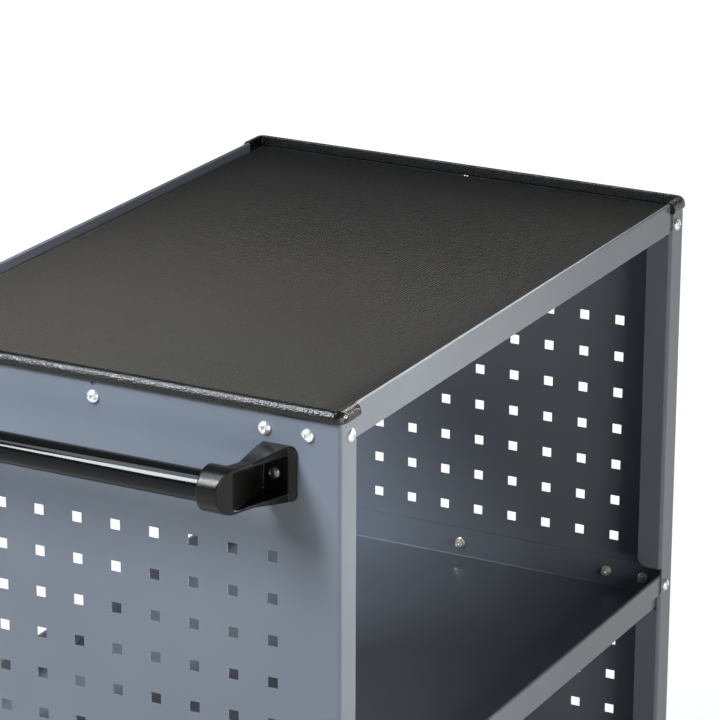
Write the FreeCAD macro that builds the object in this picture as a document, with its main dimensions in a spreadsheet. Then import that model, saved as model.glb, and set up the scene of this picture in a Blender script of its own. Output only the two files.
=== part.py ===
import math
import os

import FreeCAD
import Part
import Sketcher
from FreeCAD import Placement, Rotation, Vector


# A three-level open service cart: two folded and perforated end panels carry a top tray with a rubber
# mat and two shelves, a tube handle sits on moulded brackets, and four castors carry it all.
# X runs along the cart with the handle at -X, Y runs across it, Z is up and zero at the floor.
# Lengths are in millimetres.

DRIVING_SIZES = [
    ("cart_length", 710.0, "over the outer faces of the end panels"),
    ("cart_width", 470.0, "over the side faces of the posts"),
    ("castor_height", 155.0, "floor to the underside of the bottom shelf"),
    ("lower_level", 342.0, "bottom shelf floor to middle shelf floor"),
    ("upper_level", 405.5, "middle shelf floor to tray floor"),
    ("panel_steel", 1.5, "sheet of the end panels"),
    ("shelf_steel", 1.2, "sheet of the tray and the shelves"),
    ("panel_bend", 3.5, "outer bend radius of the end panels"),
    ("shelf_bend", 1.5, "inner bend radius of the tray and the shelves"),
    ("post_depth", 30.0, "side flange of an end panel"),
    ("post_return", 25.0, "inward leg of the post"),
    ("post_corner", 10.0, "rounded corner where the leg is cut away"),
    ("panel_over_tray", 10.3, "end panel's top edge over the tray floor"),
    ("hole_pitch", 38.0, "perforation pitch both ways"),
    ("hole_side", 10.0, "side of a square hole"),
    ("field_edge", 64.0, "side face to the first column of holes"),
    ("field_rise", 54.0, "shelf floor to the lowest row of holes"),
    ("field_drop_tray", 123.5, "highest row of holes to the tray floor"),
    ("field_drop_shelf", 22.0, "highest row of holes to the shelf floor above"),
    ("shelf_lip", 31.0, "shelf rim over the shelf floor"),
    ("shelf_skirt", 20.0, "outer fold of a shelf rim"),
    ("tray_lip", 11.8, "tray rim over the tray floor"),
    ("tray_skirt", 29.0, "outer fold of the tray rim"),
    ("tray_end_flange", 25.0, "tray's end flange, turned down"),
    ("hem_gap", 1.6, "open space inside the folded rim"),
    ("leg_clearance", 8.0, "post leg's cut over a shelf rim"),
    ("leg_relief", 4.5, "slanted relief where the leg starts again"),
    ("mat_thickness", 3.0, "rubber mat in the tray"),
    ("mat_gap", 0.8, "mat to the rim around it"),
    ("trim_height", 11.1, "edge trim over the panel's top edge"),
    ("trim_wall", 3.2, "wall of the edge trim each side of the sheet"),
    ("trim_cap", 3.0, "edge trim above the sheet"),
    ("trim_return", 30.0, "edge trim's length round the corner"),
    ("trim_bevel", 1.8, "bevelled top edges of the trim"),
    ("trim_slot_gap", 0.1, "sheet to the trim's slot, each side"),
    ("screw_head", 11.6, "button head's diameter"),
    ("screw_head_height", 3.3, "button head's height"),
    ("end_screw_edge", 30.5, "side face to the outermost end screw"),
    ("end_screw_pair", 40.0, "outermost end screw to the next"),
    ("shelf_screw_rise", 15.0, "end screws over a shelf floor"),
    ("tray_screw_drop", 11.3, "end and side screws below the tray floor"),
    ("side_screw_inset", 17.5, "end face to a side screw"),
    ("side_screw_rise", 19.0, "side screws over a shelf floor"),
    ("spare_hole", 6.0, "spare hole at the middle of a panel's top edge"),
    ("spare_hole_rise", 1.0, "spare hole's centre over the tray floor"),
    ("handle_height", 856.7, "handle axis over the floor"),
    ("handle_reach", 59.0, "panel's outer face to the handle axis"),
    ("tube_diameter", 27.0, "handle tube"),
    ("tube_gap", 0.05, "tube to its collar"),
    ("collar_diameter", 39.6, "bracket's collar"),
    ("collar_inset", 91.4, "side face to the collar's mouth"),
    ("socket_depth", 16.0, "tube's length inside a collar"),
    ("bracket_outer_inset", 40.0, "side face to the bracket's outer end"),
    ("bracket_inner_inset", 70.0, "side face to the arm's inner face at the panel"),
    ("bracket_height", 49.0, "bracket's foot on the panel"),
    ("bracket_arm_height", 38.4, "bracket's arm at the collar"),
    ("bracket_wall", 4.0, "bracket's walls around the pocket"),
    ("bracket_floor", 4.0, "bracket's floor on the panel"),
    ("bracket_nose_inset", 72.0, "side face to the bracket's slanted face at the collar's front"),
    ("bracket_corner", 6.0, "rounded outer corners of the bracket's foot"),
    ("bracket_bevel", 2.2, "bevelled inner edges of the bracket's arm"),
    ("bracket_screw_inset", 59.5, "side face to the bracket's screw"),
    ("castor_inset_x", 62.0, "end face to the castor plate's centre"),
    ("castor_inset_y", 60.0, "side face to the castor plate's centre"),
    ("plate_length", 105.0, "castor plate along the cart"),
    ("plate_width", 85.0, "castor plate across the cart"),
    ("plate_steel", 3.0, "castor plate's thickness"),
    ("wheel_diameter", 125.0, "castor wheel"),
    ("tread_width", 37.2, "wheel's width"),
    ("hub_width", 38.0, "space kept between the fork's legs for the wheel"),
    ("axle", 8.0, "wheel's axle"),
    ("running_gap", 0.1, "a pin's diameter to its hole's"),
    ("hub_side_gap", 0.4, "hub to the fork's legs"),
    ("fork_steel", 3.0, "fork's sheet"),
    ("fork_trail", 38.0, "swivel axis to the axle"),
    ("fork_leg_width", 46.0, "fork's leg at the crown"),
    ("fork_end_radius", 15.0, "fork's leg round the axle"),
    ("crown_drop", 15.0, "castor plate to the swivelling fork's crown"),
    ("race_diameter", 62.0, "swivel bearing's cup"),
    ("race_gap", 0.3, "running gap at the swivel bearing"),
    ("king_pin", 12.0, "king pin's diameter"),
    ("pedal_length", 58.0, "brake pedal"),
    ("pedal_width", 32.0, "brake pedal's tread"),
    ("pedal_steel", 2.5, "brake pedal's sheet"),
    ("pedal_shoe", 10.5, "pedal's pin to the underside of its brake shoe"),
    ("pedal_pin", 6.0, "brake pedal's pin"),
    ("pedal_pivot_back", 20.0, "axle to the pedal's pin, backwards"),
    ("pedal_pivot_drop", 5.6, "crown's underside to the pedal's pin"),
]

SMALL_ROUND_SIDES = 8


ALONG = Vector(1, 0, 0)
UP = Vector(0, 0, 1)


class Size:
    """A length with the formula that ties it to the sheet."""

    def __init__(self, value, text):
        self.value = float(value)
        self.text = text

    def __add__(self, other):
        other = as_size(other)
        return Size(self.value + other.value, f"({self.text} + {other.text})")

    def __sub__(self, other):
        other = as_size(other)
        return Size(self.value - other.value, f"({self.text} - {other.text})")

    def __mul__(self, other):
        other = as_size(other)
        return Size(self.value * other.value, f"({self.text} * {other.text})")

    def __truediv__(self, other):
        other = as_size(other)
        return Size(self.value / other.value, f"({self.text} / {other.text})")

    def __neg__(self):
        return Size(-self.value, f"(0 - {self.text})")

    def __radd__(self, other):
        return as_size(other) + self

    def __rsub__(self, other):
        return as_size(other) - self

    def __rmul__(self, other):
        return as_size(other) * self

    def whole(self):
        return Size(math.floor(self.value), f"floor({self.text})")


def as_size(number):
    if isinstance(number, Size):
        return number
    return Size(number, repr(float(number)))


def make_sheet(doc):
    """Write the driving sizes into a spreadsheet and give each back as a named size."""
    sheet = doc.addObject("Spreadsheet::Sheet", "sizes")
    named = {}
    for row, (name, value, note) in enumerate(DRIVING_SIZES, start=1):
        sheet.set(f"A{row}", name)
        sheet.set(f"B{row}", str(value))
        sheet.set(f"C{row}", note)
        sheet.setAlias(f"B{row}", name)
        named[name] = Size(value, f"sizes.{name}")
    return named


def bind(item, name, size):
    """Tie a property of an object to the sheet."""
    size = as_size(size)
    item.setExpression(name, size.text)


def make_body(doc, label):
    """An empty body with its label."""
    body = doc.addObject("PartDesign::Body", label)
    body.Label = label
    return body


def origin_plane(body, role):
    for feature in body.Origin.OriginFeatures:
        if feature.Role == role:
            return feature
    raise ValueError(role)


def make_sketch(body, name, role, offset=0.0):
    """A sketch on one of the body's own origin planes, moved along the plane's normal."""
    sketch = body.newObject("Sketcher::SketchObject", name)
    sketch.AttachmentSupport = [(origin_plane(body, role), "")]
    sketch.MapMode = "FlatFace"
    bind(sketch, "AttachmentOffset.Base.z", offset)
    return sketch


def pin_point(sketch, edge, end, x, y):
    """Fix one end of an edge at a place worked out from the sheet."""
    for kind, place in (("DistanceX", x), ("DistanceY", y)):
        place = as_size(place)
        number = sketch.addConstraint(Sketcher.Constraint(kind, -1, 1, edge, end, place.value))
        sketch.setExpression(f"Constraints[{number}]", place.text)


def step_sign(start, finish):
    """Which way an upright or level stretch of an outline runs."""
    dx = finish[0].value - start[0].value
    dy = finish[1].value - start[1].value
    if abs(dx) > abs(dy):
        return (math.copysign(1.0, dx), 0.0)
    return (0.0, math.copysign(1.0, dy))


def draw_outline(sketch, corners):
    """Draw a closed outline. A corner may have a radius where two upright or level stretches meet."""
    corners = [tuple(as_size(part) for part in corner) for corner in corners]
    count = len(corners)
    stops = []
    for index, corner in enumerate(corners):
        if len(corner) == 2:
            stops.append((corner, corner, None))
            continue
        back = step_sign(corner, corners[index - 1])
        ahead = step_sign(corner, corners[(index + 1) % count])
        x, y, radius = corner
        first = (x + back[0] * radius, y + back[1] * radius)
        last = (x + ahead[0] * radius, y + ahead[1] * radius)
        centre = (first[0] + ahead[0] * radius, first[1] + ahead[1] * radius)
        stops.append((first, last, (centre, radius)))
    for index, (first, last, bend) in enumerate(stops):
        if bend is not None:
            draw_bend(sketch, first, last, *bend)
        following = stops[(index + 1) % count][0]
        line = Part.LineSegment(flat_vector(last), flat_vector(following))
        edge = sketch.addGeometry(line, False)
        pin_point(sketch, edge, 1, *last)
        pin_point(sketch, edge, 2, *following)
    return sketch


def flat_vector(point):
    return Vector(as_size(point[0]).value, as_size(point[1]).value, 0)


def draw_bend(sketch, first, last, centre, radius):
    """A quarter circle from one stretch of an outline to the next."""
    middle = flat_vector(centre)
    out = (flat_vector(first) + flat_vector(last)) * 0.5 - middle
    out.normalize()
    arc = Part.Arc(flat_vector(first), middle + out * radius.value, flat_vector(last))
    edge = sketch.addGeometry(arc, False)
    begins = sketch.getPoint(edge, 1)
    ends_first = (begins - flat_vector(first)).Length > (begins - flat_vector(last)).Length
    pin_point(sketch, edge, 2 if ends_first else 1, *first)
    pin_point(sketch, edge, 1 if ends_first else 2, *last)
    number = sketch.addConstraint(Sketcher.Constraint("Radius", edge, radius.value))
    sketch.setExpression(f"Constraints[{number}]", radius.text)


def draw_circle(sketch, x, y, diameter):
    x = as_size(x)
    y = as_size(y)
    diameter = as_size(diameter)
    centre = Vector(x.value, y.value, 0)
    edge = sketch.addGeometry(Part.Circle(centre, Vector(0, 0, 1), diameter.value / 2), False)
    pin_point(sketch, edge, 3, x, y)
    number = sketch.addConstraint(Sketcher.Constraint("Diameter", edge, diameter.value))
    sketch.setExpression(f"Constraints[{number}]", diameter.text)


def rectangle(x_low, y_low, x_high, y_high):
    return [(x_low, y_low), (x_high, y_low), (x_high, y_high), (x_low, y_high)]


def square_hole(x, y, side):
    """The corners of a square about a point."""
    half = as_size(side) / 2
    return rectangle(x - half, y - half, x + half, y + half)


def pad(body, name, sketch, length, both_ways=False, reverse=False):
    """Raise a sketch into a solid."""
    feature = body.newObject("PartDesign::Pad", name)
    feature.Profile = sketch
    feature.SideType = "Symmetric" if both_ways else "One side"
    bind(feature, "Length", length)
    feature.Reversed = reverse
    return feature


def cut(body, name, sketch, length, both_ways=False, reverse=False):
    """Cut a sketch out of the solid."""
    feature = body.newObject("PartDesign::Pocket", name)
    feature.Profile = sketch
    feature.SideType = "Symmetric" if both_ways else "One side"
    bind(feature, "Length", length)
    feature.Reversed = reverse
    return feature


def pick_edges(doc, body, name, wanted):
    """The edges of the body's last feature that pass a test on their middle and direction."""
    doc.recompute()
    base = body.Tip
    names = []
    for number, edge in enumerate(base.Shape.Edges, start=1):
        middle = edge.valueAt((edge.FirstParameter + edge.LastParameter) / 2)
        if wanted(edge, middle):
            names.append(f"Edge{number}")
    if not names:
        raise ValueError(f"no edge found for {name}")
    return base, names


def round_edges(doc, body, name, radius, wanted):
    """Round the edges of the body's last step that are wanted."""
    picked = pick_edges(doc, body, name, wanted)
    feature = body.newObject("PartDesign::Fillet", name)
    feature.Base = picked
    bind(feature, "Radius", radius)
    return feature


def bevel_edges(doc, body, name, width, wanted):
    """Bevel the edges of the body's last step that are wanted."""
    picked = pick_edges(doc, body, name, wanted)
    feature = body.newObject("PartDesign::Chamfer", name)
    feature.Base = picked
    bind(feature, "Size", width)
    return feature


def is_along(edge, axis):
    """Whether an edge is a straight one along an axis."""
    if edge.Curve.TypeId != "Part::GeomLine":
        return False
    direction = edge.Vertexes[-1].Point - edge.Vertexes[0].Point
    direction.normalize()
    return abs(direction.dot(axis)) > 0.99


def near(first, second, room=0.01):
    return abs(as_size(first).value - as_size(second).value) < room


def axis_of(body, role):
    return (origin_plane(body, role), [""])


def repeat(body, name, feature, rows):
    """Repeat a cut along one or two of the body's axes. Each row is (axis, spacing, count)."""
    grid = body.newObject("PartDesign::MultiTransform", name)
    grid.Originals = [feature]
    steps = []
    for role, spacing, count in rows:
        step = body.newObject("PartDesign::LinearPattern", f"{name}_{role}")
        step.Direction = axis_of(body, role)
        step.Mode = "Spacing"
        bind(step, "Offset", spacing)
        bind(step, "Occurrences", count)
        steps.append(step)
    grid.Transformations = steps
    body.Tip = grid
    return grid


def heights(size):
    """The levels of the cart, worked out from the castors upwards."""
    level = {}
    level["bottom_floor"] = size["castor_height"] + size["shelf_steel"]
    level["middle_floor"] = level["bottom_floor"] + size["lower_level"]
    level["tray_floor"] = level["middle_floor"] + size["upper_level"]
    level["panel_top"] = level["tray_floor"] + size["panel_over_tray"]
    level["trim_top"] = level["panel_top"] + size["trim_cap"]
    level["tray_rim"] = level["tray_floor"] + size["tray_lip"]
    return level


def end_screw_places(size):
    """Across the cart: one end screw in the middle and a pair towards each side."""
    outer = size["cart_width"] / 2 - size["end_screw_edge"]
    inner = outer - size["end_screw_pair"]
    return [-outer, -inner, as_size(0.0), inner, outer]


def end_screw_levels(size, level):
    """Heights of the three rows of screws in an end panel."""
    return [
        level["bottom_floor"] + size["shelf_screw_rise"],
        level["middle_floor"] + size["shelf_screw_rise"],
        level["tray_floor"] - size["tray_screw_drop"],
    ]


def side_screw_levels(size, level):
    """Heights of the screws in the posts' side faces."""
    return [
        level["bottom_floor"] + size["side_screw_rise"],
        level["middle_floor"] + size["side_screw_rise"],
        level["tray_floor"] - size["tray_screw_drop"],
    ]


def post_section(size):
    """The plan of an end panel: a sheet with a side flange and an inward leg at each edge."""
    half = size["cart_width"] / 2
    steel = size["panel_steel"]
    depth = size["post_depth"]
    leg = half - size["post_return"]
    bend = size["panel_bend"]
    return [
        (0.0, -half, bend),
        (depth, -half, bend),
        (depth, -leg),
        (depth - steel, -leg),
        (depth - steel, -half + steel),
        (steel, -half + steel),
        (steel, half - steel),
        (depth - steel, half - steel),
        (depth - steel, leg),
        (depth, leg),
        (depth, half, bend),
        (0.0, half, bend),
    ]


def cut_legs(doc, body, size, level):
    """Cut the posts' inward legs away where the shelves and the tray sit between the posts."""
    steel = size["panel_steel"]
    tab = size["post_depth"] - size["panel_bend"]
    past = size["post_depth"] + steel
    over_lip = size["shelf_lip"] + size["leg_clearance"]
    relief = size["leg_relief"]
    middle = level["middle_floor"]
    skirt_end = middle + size["shelf_lip"] - size["shelf_skirt"]
    tray_skirt_end = level["tray_rim"] - size["tray_skirt"]
    above = level["panel_top"] + steel
    bottom_cut = level["bottom_floor"] + over_lip
    middle_cut = middle + over_lip
    sketch = make_sketch(body, "leg_cuts", "XZ_Plane")
    draw_outline(sketch, rectangle(tab, size["castor_height"] - steel, past, bottom_cut))
    slanted = ((middle_cut, skirt_end), (above, tray_skirt_end))
    for high, low in slanted:
        corners = [
            (tab, high),
            (tab, low + relief),
            (size["post_depth"], low),
            (past, low),
            (past, high),
        ]
        draw_outline(sketch, corners)
    cut(body, "legs_cut", sketch, size["cart_width"] + steel * 2, both_ways=True)
    flat = size["cart_width"] / 2 - size["panel_bend"]
    floor_gap = middle - size["shelf_steel"] - size["hem_gap"] * 2
    sketch = make_sketch(body, "leg_floor_cuts", "YZ_Plane", size["post_depth"] / 2)
    draw_outline(sketch, rectangle(-flat, floor_gap, flat, skirt_end + relief))
    cut(body, "legs_floor_cut", sketch, size["post_depth"], reverse=True)
    free_edge = size["cart_width"] / 2 - size["post_return"]
    ends = (bottom_cut, middle_cut, floor_gap)

    def wanted(edge, middle_point):
        if not is_along(edge, ALONG):
            return False
        at_edge = near(abs(middle_point.y), free_edge)
        return at_edge and any(near(middle_point.z, end) for end in ends)

    round_edges(doc, body, "leg_corners", size["post_corner"], wanted)


def drill_panel(body, size, level):
    """The spare hole at the middle of the panel's top edge."""
    sketch = make_sketch(body, "spare_hole", "YZ_Plane")
    corners = polygon(size["spare_hole"] / 2, SMALL_ROUND_SIDES, 0.5)
    height = level["tray_floor"] + size["spare_hole_rise"]
    draw_outline(sketch, [(y, z + height) for y, z in corners])
    cut(body, "spare_hole_cut", sketch, size["panel_steel"] * 4, both_ways=True)


def perforate(body, size, floor, ceiling, field_drop, name):
    """One field of square holes between a shelf and the level above it."""
    pitch = size["hole_pitch"]
    columns = ((size["cart_width"] - size["field_edge"] * 2) / pitch + 0.001).whole() + 1
    clear = ceiling - floor - size["field_rise"] - field_drop
    rows = (clear / pitch + 0.001).whole() + 1
    first = -(columns - 1) * pitch / 2
    sketch = make_sketch(body, f"{name}_hole", "YZ_Plane")
    draw_outline(sketch, square_hole(first, floor + size["field_rise"], size["hole_side"]))
    hole = cut(body, f"{name}_hole_cut", sketch, size["panel_steel"] * 4, both_ways=True)
    repeat(body, f"{name}_field", hole, [("Y_Axis", pitch, columns), ("Z_Axis", pitch, rows)])


def end_panel(doc, label, size, level):
    """One folded sheet: the end of the cart with a post at each edge. Its outer face is at x = 0."""
    body = make_body(doc, label)
    bottom = size["castor_height"]
    sketch = make_sketch(body, "plan", "XY_Plane", bottom)
    draw_outline(sketch, post_section(size))
    pad(body, "sheet", sketch, level["panel_top"] - bottom)
    cut_legs(doc, body, size, level)
    drill_panel(body, size, level)
    middle = level["middle_floor"]
    perforate(body, size, level["bottom_floor"], middle, size["field_drop_shelf"], "lower")
    perforate(body, size, middle, level["tray_floor"], size["field_drop_tray"], "upper")
    return body


def cart_middle(size):
    """The shelves' middle along X, so that zero is the middle of the whole cart with its handle."""
    handle = size["handle_reach"] + size["collar_diameter"] / 2
    return (handle - size["trim_slot_gap"] - size["trim_wall"]) / 2


def from_side(size, inset):
    """A distance across the cart from its middle, given by its distance from the side face."""
    return size["cart_width"] / 2 - size[inset]


def put(item, size, x=0.0, y=0.0, z=0.0, axis=None, angle=0.0):
    """Place a piece by its distance from the shelves' middle, turned about one axis if need be."""
    turned = Rotation(axis, angle) if axis else Rotation()
    item.Placement = Placement(Vector(0, 0, 0), turned)
    bind(item, "Placement.Base.x", cart_middle(size) + x)
    bind(item, "Placement.Base.y", y)
    bind(item, "Placement.Base.z", z)
    return item


def place_on_end(item, size, far):
    """Put a piece drawn from the panel's outer face on the handle end or, turned, on the far end."""
    end = size["cart_length"] / 2
    if far:
        return put(item, size, end, axis=UP, angle=180)
    return put(item, size, -end)


def rim_section(size, floor, lip, skirt):
    """Across the cart: floor, upright wall, hem folded outwards and down, the same on both sides."""
    steel = size["shelf_steel"]
    outer = size["cart_width"] / 2 - size["panel_steel"]
    hem = steel * 2 + size["hem_gap"]
    inner = outer - hem
    top = floor + lip
    hem_round = hem / 2 - steel / 6
    bend = size["shelf_bend"]
    right = [
        (inner + steel, floor - steel),
        (inner + steel, top - steel),
        (outer - steel, top - steel),
        (outer - steel, top - skirt),
        (outer, top - skirt),
        (outer, top, hem_round),
        (inner, top, hem_round),
        (inner, floor, bend),
    ]
    left = [(-corner[0],) + tuple(corner[1:]) for corner in reversed(right)]
    return right + left


def rim_inner(size):
    """Cart's middle to the inner face of a rim's wall."""
    return size["cart_width"] / 2 - size["panel_steel"] - size["shelf_steel"] * 2 - size["hem_gap"]


def shelf_reach(size):
    """Cart's middle to the outer face of an end flange, which lies on the end panel."""
    return size["cart_length"] / 2 - size["panel_steel"]


def end_flange(size, floor, rise, side):
    """Along the cart: the floor's end bent up or, with a negative rise, down."""
    steel = size["shelf_steel"]
    bend = size["shelf_bend"]
    reach = shelf_reach(size)
    start = reach - bend - steel * 2
    if rise.value > 0:
        near_face, far_face = floor, floor - steel
        inner_bend = (bend,)
    else:
        near_face, far_face = floor - steel, floor
        inner_bend = ()
    corners = [
        (start * side, near_face),
        ((reach - steel) * side, near_face, *inner_bend),
        ((reach - steel) * side, floor + rise),
        (reach * side, floor + rise),
        (reach * side, far_face),
        (start * side, far_face),
    ]
    return corners


def folded_shelf(doc, label, size, floor, lip, skirt, end_rise):
    """A folded tray: hemmed rims along the open sides and a flange at each end."""
    body = make_body(doc, label)
    steel = size["shelf_steel"]
    bend = size["shelf_bend"]
    sketch = make_sketch(body, "section", "YZ_Plane")
    draw_outline(sketch, rim_section(size, floor, lip, skirt))
    pad(body, "floor_and_rims", sketch, (shelf_reach(size) - bend - steel) * 2, both_ways=True)
    sketch = make_sketch(body, "end_flanges", "XZ_Plane")
    for side in (-1, 1):
        draw_outline(sketch, end_flange(size, floor, end_rise, side))
    pad(body, "ends", sketch, (rim_inner(size) - bend) * 2, both_ways=True)
    return body


def castor_places(size):
    """The castor plates' centres: (x, y) for each end and side."""
    x = size["cart_length"] / 2 - size["castor_inset_x"]
    y = size["cart_width"] / 2 - size["castor_inset_y"]
    return x, y


def top_tray(doc, size, level):
    """The top tray. Its rims stop short of the ends, where the edge trims come round the corners."""
    floor = level["tray_floor"]
    drop = -size["tray_end_flange"]
    body = folded_shelf(doc, "top_tray", size, floor, size["tray_lip"], size["tray_skirt"], drop)
    start = size["cart_length"] / 2 - size["trim_return"] - size["mat_gap"]
    sketch = make_sketch(body, "rim_ends", "XZ_Plane")
    for side in (-1, 1):
        corners = rectangle(
            start * side,
            floor + size["shelf_steel"],
            size["cart_length"] * side / 2,
            level["tray_rim"] + size["shelf_steel"],
        )
        draw_outline(sketch, corners)
    cut(body, "rim_ends_cut", sketch, size["cart_width"] + size["trim_wall"], both_ways=True)
    return body


def shelf(doc, label, size, floor):
    """A shelf, with rims as high along its sides as at its ends."""
    lip = size["shelf_lip"]
    return folded_shelf(doc, label, size, floor, lip, size["shelf_skirt"], lip)


def tray_mat(doc, size, level):
    """The rubber mat, which lies on the tray floor between the rims and the edge trims."""
    mat = doc.addObject("Part::Box", "tray_mat")
    mat.Label = "tray_mat"
    trim_inner = size["panel_steel"] + size["trim_slot_gap"] + size["trim_wall"]
    half_length = size["cart_length"] / 2 - trim_inner - size["mat_gap"]
    half_width = rim_inner(size) - size["shelf_bend"] - size["mat_gap"]
    bind(mat, "Length", half_length * 2)
    bind(mat, "Width", half_width * 2)
    bind(mat, "Height", size["mat_thickness"])
    return put(mat, size, -half_length, -half_width, level["tray_floor"])


def bent_strip(size, offset, end):
    """The plan of a strip that follows the panel and its two corners at an offset from the sheet."""
    half = size["cart_width"] / 2
    steel = size["panel_steel"]
    outer_bend = size["panel_bend"] + offset
    outside = half + offset
    inside = half - steel - offset
    return [
        (-offset, -outside, outer_bend),
        (end, -outside),
        (end, -inside),
        (steel + offset, -inside),
        (steel + offset, inside),
        (end, inside),
        (end, outside),
        (-offset, outside, outer_bend),
    ]


def edge_trim(doc, label, size, level):
    """The edge trim: a grooved strip pushed over a panel's top edge and round its corners."""
    body = make_body(doc, label)
    gap = size["trim_slot_gap"]
    reach = gap + size["trim_wall"]
    bottom = level["trim_top"] - size["trim_height"]
    sketch = make_sketch(body, "plan", "XY_Plane", bottom)
    draw_outline(sketch, bent_strip(size, reach, size["trim_return"]))
    pad(body, "strip", sketch, size["trim_height"])
    sketch = make_sketch(body, "groove", "XY_Plane", bottom)
    past = size["trim_return"] + size["trim_wall"]
    draw_outline(sketch, bent_strip(size, gap, past))
    cut(body, "groove_cut", sketch, level["panel_top"] - bottom, reverse=True)

    def wanted(edge, middle_point):
        on_top = all(near(vertex.Z, level["trim_top"]) for vertex in edge.Vertexes)
        return on_top and near(middle_point.z, level["trim_top"])

    bevel_edges(doc, body, "bevelled_top", size["trim_bevel"], wanted)
    return body


def handle_tube(doc, size):
    """The handle tube. Its ends are hidden in the two collars, so its inside is left solid."""
    body = make_body(doc, "handle_tube")
    x = -(size["cart_length"] / 2 + size["handle_reach"])
    sketch = make_sketch(body, "section", "XZ_Plane")
    draw_circle(sketch, x, size["handle_height"], size["tube_diameter"])
    half_length = from_side(size, "collar_inset") + size["socket_depth"]
    pad(body, "tube", sketch, half_length * 2, both_ways=True)
    return body


def bracket_plan(size):
    """The bracket from above: a foot on the panel, a straight inner face and a slanted outer one."""
    nose = size["handle_reach"] + size["collar_diameter"] / 2
    foot = from_side(size, "bracket_outer_inset")
    floor = size["bracket_floor"]
    inner = from_side(size, "bracket_inner_inset") - size["bracket_wall"]
    collar_back = from_side(size, "collar_inset") + size["socket_depth"]
    return [
        (0.0, -foot),
        (0.0, -inner),
        (-(size["handle_reach"] - size["collar_diameter"] / 4), -inner),
        (-size["handle_reach"], -collar_back + size["bracket_wall"] / 2),
        (-nose, -collar_back + size["bracket_wall"] / 2),
        (-nose, -from_side(size, "bracket_nose_inset")),
        (-floor, -foot + floor * 1.5),
        (-floor / 2, -foot),
    ]


def bracket_pocket(size):
    """The pocket from above: three-cornered, open on the slanted side."""
    foot = from_side(size, "bracket_outer_inset")
    floor = size["bracket_floor"]
    inner = from_side(size, "bracket_inner_inset")
    far = -(size["handle_reach"] + floor)
    return [
        (-floor, -foot - floor),
        (-floor, -inner),
        (far, -inner - floor),
        (far, -foot - floor),
    ]


def draw_bracket_side(sketch, size):
    """The region outside the bracket's side view, which is a round nose widening to the foot."""
    reach = size["handle_reach"]
    radius = size["collar_diameter"] / 2
    foot = size["bracket_height"] / 2
    arm = size["bracket_arm_height"] / 2
    crest = size["bracket_floor"] * 3
    away = size["collar_diameter"] * 2
    draw_outline(sketch, rectangle(-away, -away, size["bracket_floor"], away))
    back = [
        (-reach, -radius),
        (-(reach - radius), -arm),
        (-crest, -foot + size["bracket_floor"] / 4),
        (0.0, -foot),
        (size["bracket_floor"] / 2, -foot),
        (size["bracket_floor"] / 2, foot),
        (0.0, foot),
        (-crest, foot - size["bracket_floor"] / 4),
        (-(reach - radius), arm),
        (-reach, radius),
    ]
    back = [(as_size(x), as_size(y)) for x, y in back]
    for start, finish in zip(back, back[1:]):
        edge = sketch.addGeometry(Part.LineSegment(flat_vector(start), flat_vector(finish)), False)
        pin_point(sketch, edge, 1, *start)
        pin_point(sketch, edge, 2, *finish)
    nose = Vector(-(reach + radius).value, 0, 0)
    arc = Part.Arc(flat_vector(back[-1]), nose, flat_vector(back[0]))
    edge = sketch.addGeometry(arc, False)
    pin_point(sketch, edge, 3, -reach, 0.0)
    begins = sketch.getPoint(edge, 1)
    top_first = begins.y > 0
    pin_point(sketch, edge, 1, *(back[-1] if top_first else back[0]))
    number = sketch.addConstraint(
        Sketcher.Constraint("DistanceX", -1, 1, edge, 2, -reach.value)
    )
    sketch.setExpression(f"Constraints[{number}]", (-reach).text)


def handle_bracket(doc, label, size):
    """A moulded bracket. It is drawn at the front; x = 0 is the panel, z = 0 the handle axis."""
    body = make_body(doc, label)
    reach = size["handle_reach"]
    high = size["bracket_height"] * 1.5
    sketch = make_sketch(body, "plan", "XY_Plane")
    draw_outline(sketch, bracket_plan(size))
    pad(body, "arm", sketch, high, both_ways=True)
    sketch = make_sketch(body, "side", "XZ_Plane")
    draw_bracket_side(sketch, size)
    cut(body, "side_cut", sketch, from_side(size, "bracket_outer_inset") * 3, both_ways=True)
    sketch = make_sketch(body, "collar_section", "XZ_Plane", from_side(size, "collar_inset"))
    draw_circle(sketch, -reach, 0.0, size["collar_diameter"])
    pad(body, "collar", sketch, size["socket_depth"])
    sketch = make_sketch(body, "pocket_plan", "XY_Plane")
    draw_outline(sketch, bracket_pocket(size))
    inside = size["bracket_arm_height"] - size["bracket_wall"] * 1.5
    cut(body, "pocket", sketch, inside, both_ways=True)
    sketch = make_sketch(body, "socket_section", "XZ_Plane", from_side(size, "collar_inset"))
    draw_circle(sketch, -reach, 0.0, size["tube_diameter"] + size["tube_gap"] * 2)
    cut(body, "socket", sketch, size["socket_depth"], reverse=True)
    round_bracket(doc, body, size)
    return body


def round_bracket(doc, body, size):
    """Round the foot's outer corners and bevel the arm's long inner edges."""
    foot = size["bracket_height"] / 2
    outer = from_side(size, "bracket_outer_inset")
    corner = size["bracket_corner"]
    sketch = make_sketch(body, "foot_corners", "YZ_Plane", size["bracket_floor"])
    for side in (-1, 1):
        corners = [
            (-outer + corner * 2, foot * side),
            (-outer, foot * side, corner),
            (-outer, (foot - corner * 2) * side),
            (-outer - corner, (foot - corner * 2) * side),
            (-outer - corner, (foot + corner) * side),
            (-outer + corner * 2, (foot + corner) * side),
        ]
        draw_outline(sketch, corners)
    cut(body, "foot_corners_cut", sketch, size["handle_reach"])
    inner = from_side(size, "bracket_inner_inset") - size["bracket_wall"]

    def on_inner_edge(edge, middle_point):
        along = near(middle_point.y, -inner) and abs(middle_point.z) > size["bracket_wall"].value
        return along and middle_point.x < -0.1

    bevel_edges(doc, body, "inner_edges", size["bracket_bevel"], on_inner_edge)


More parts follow.
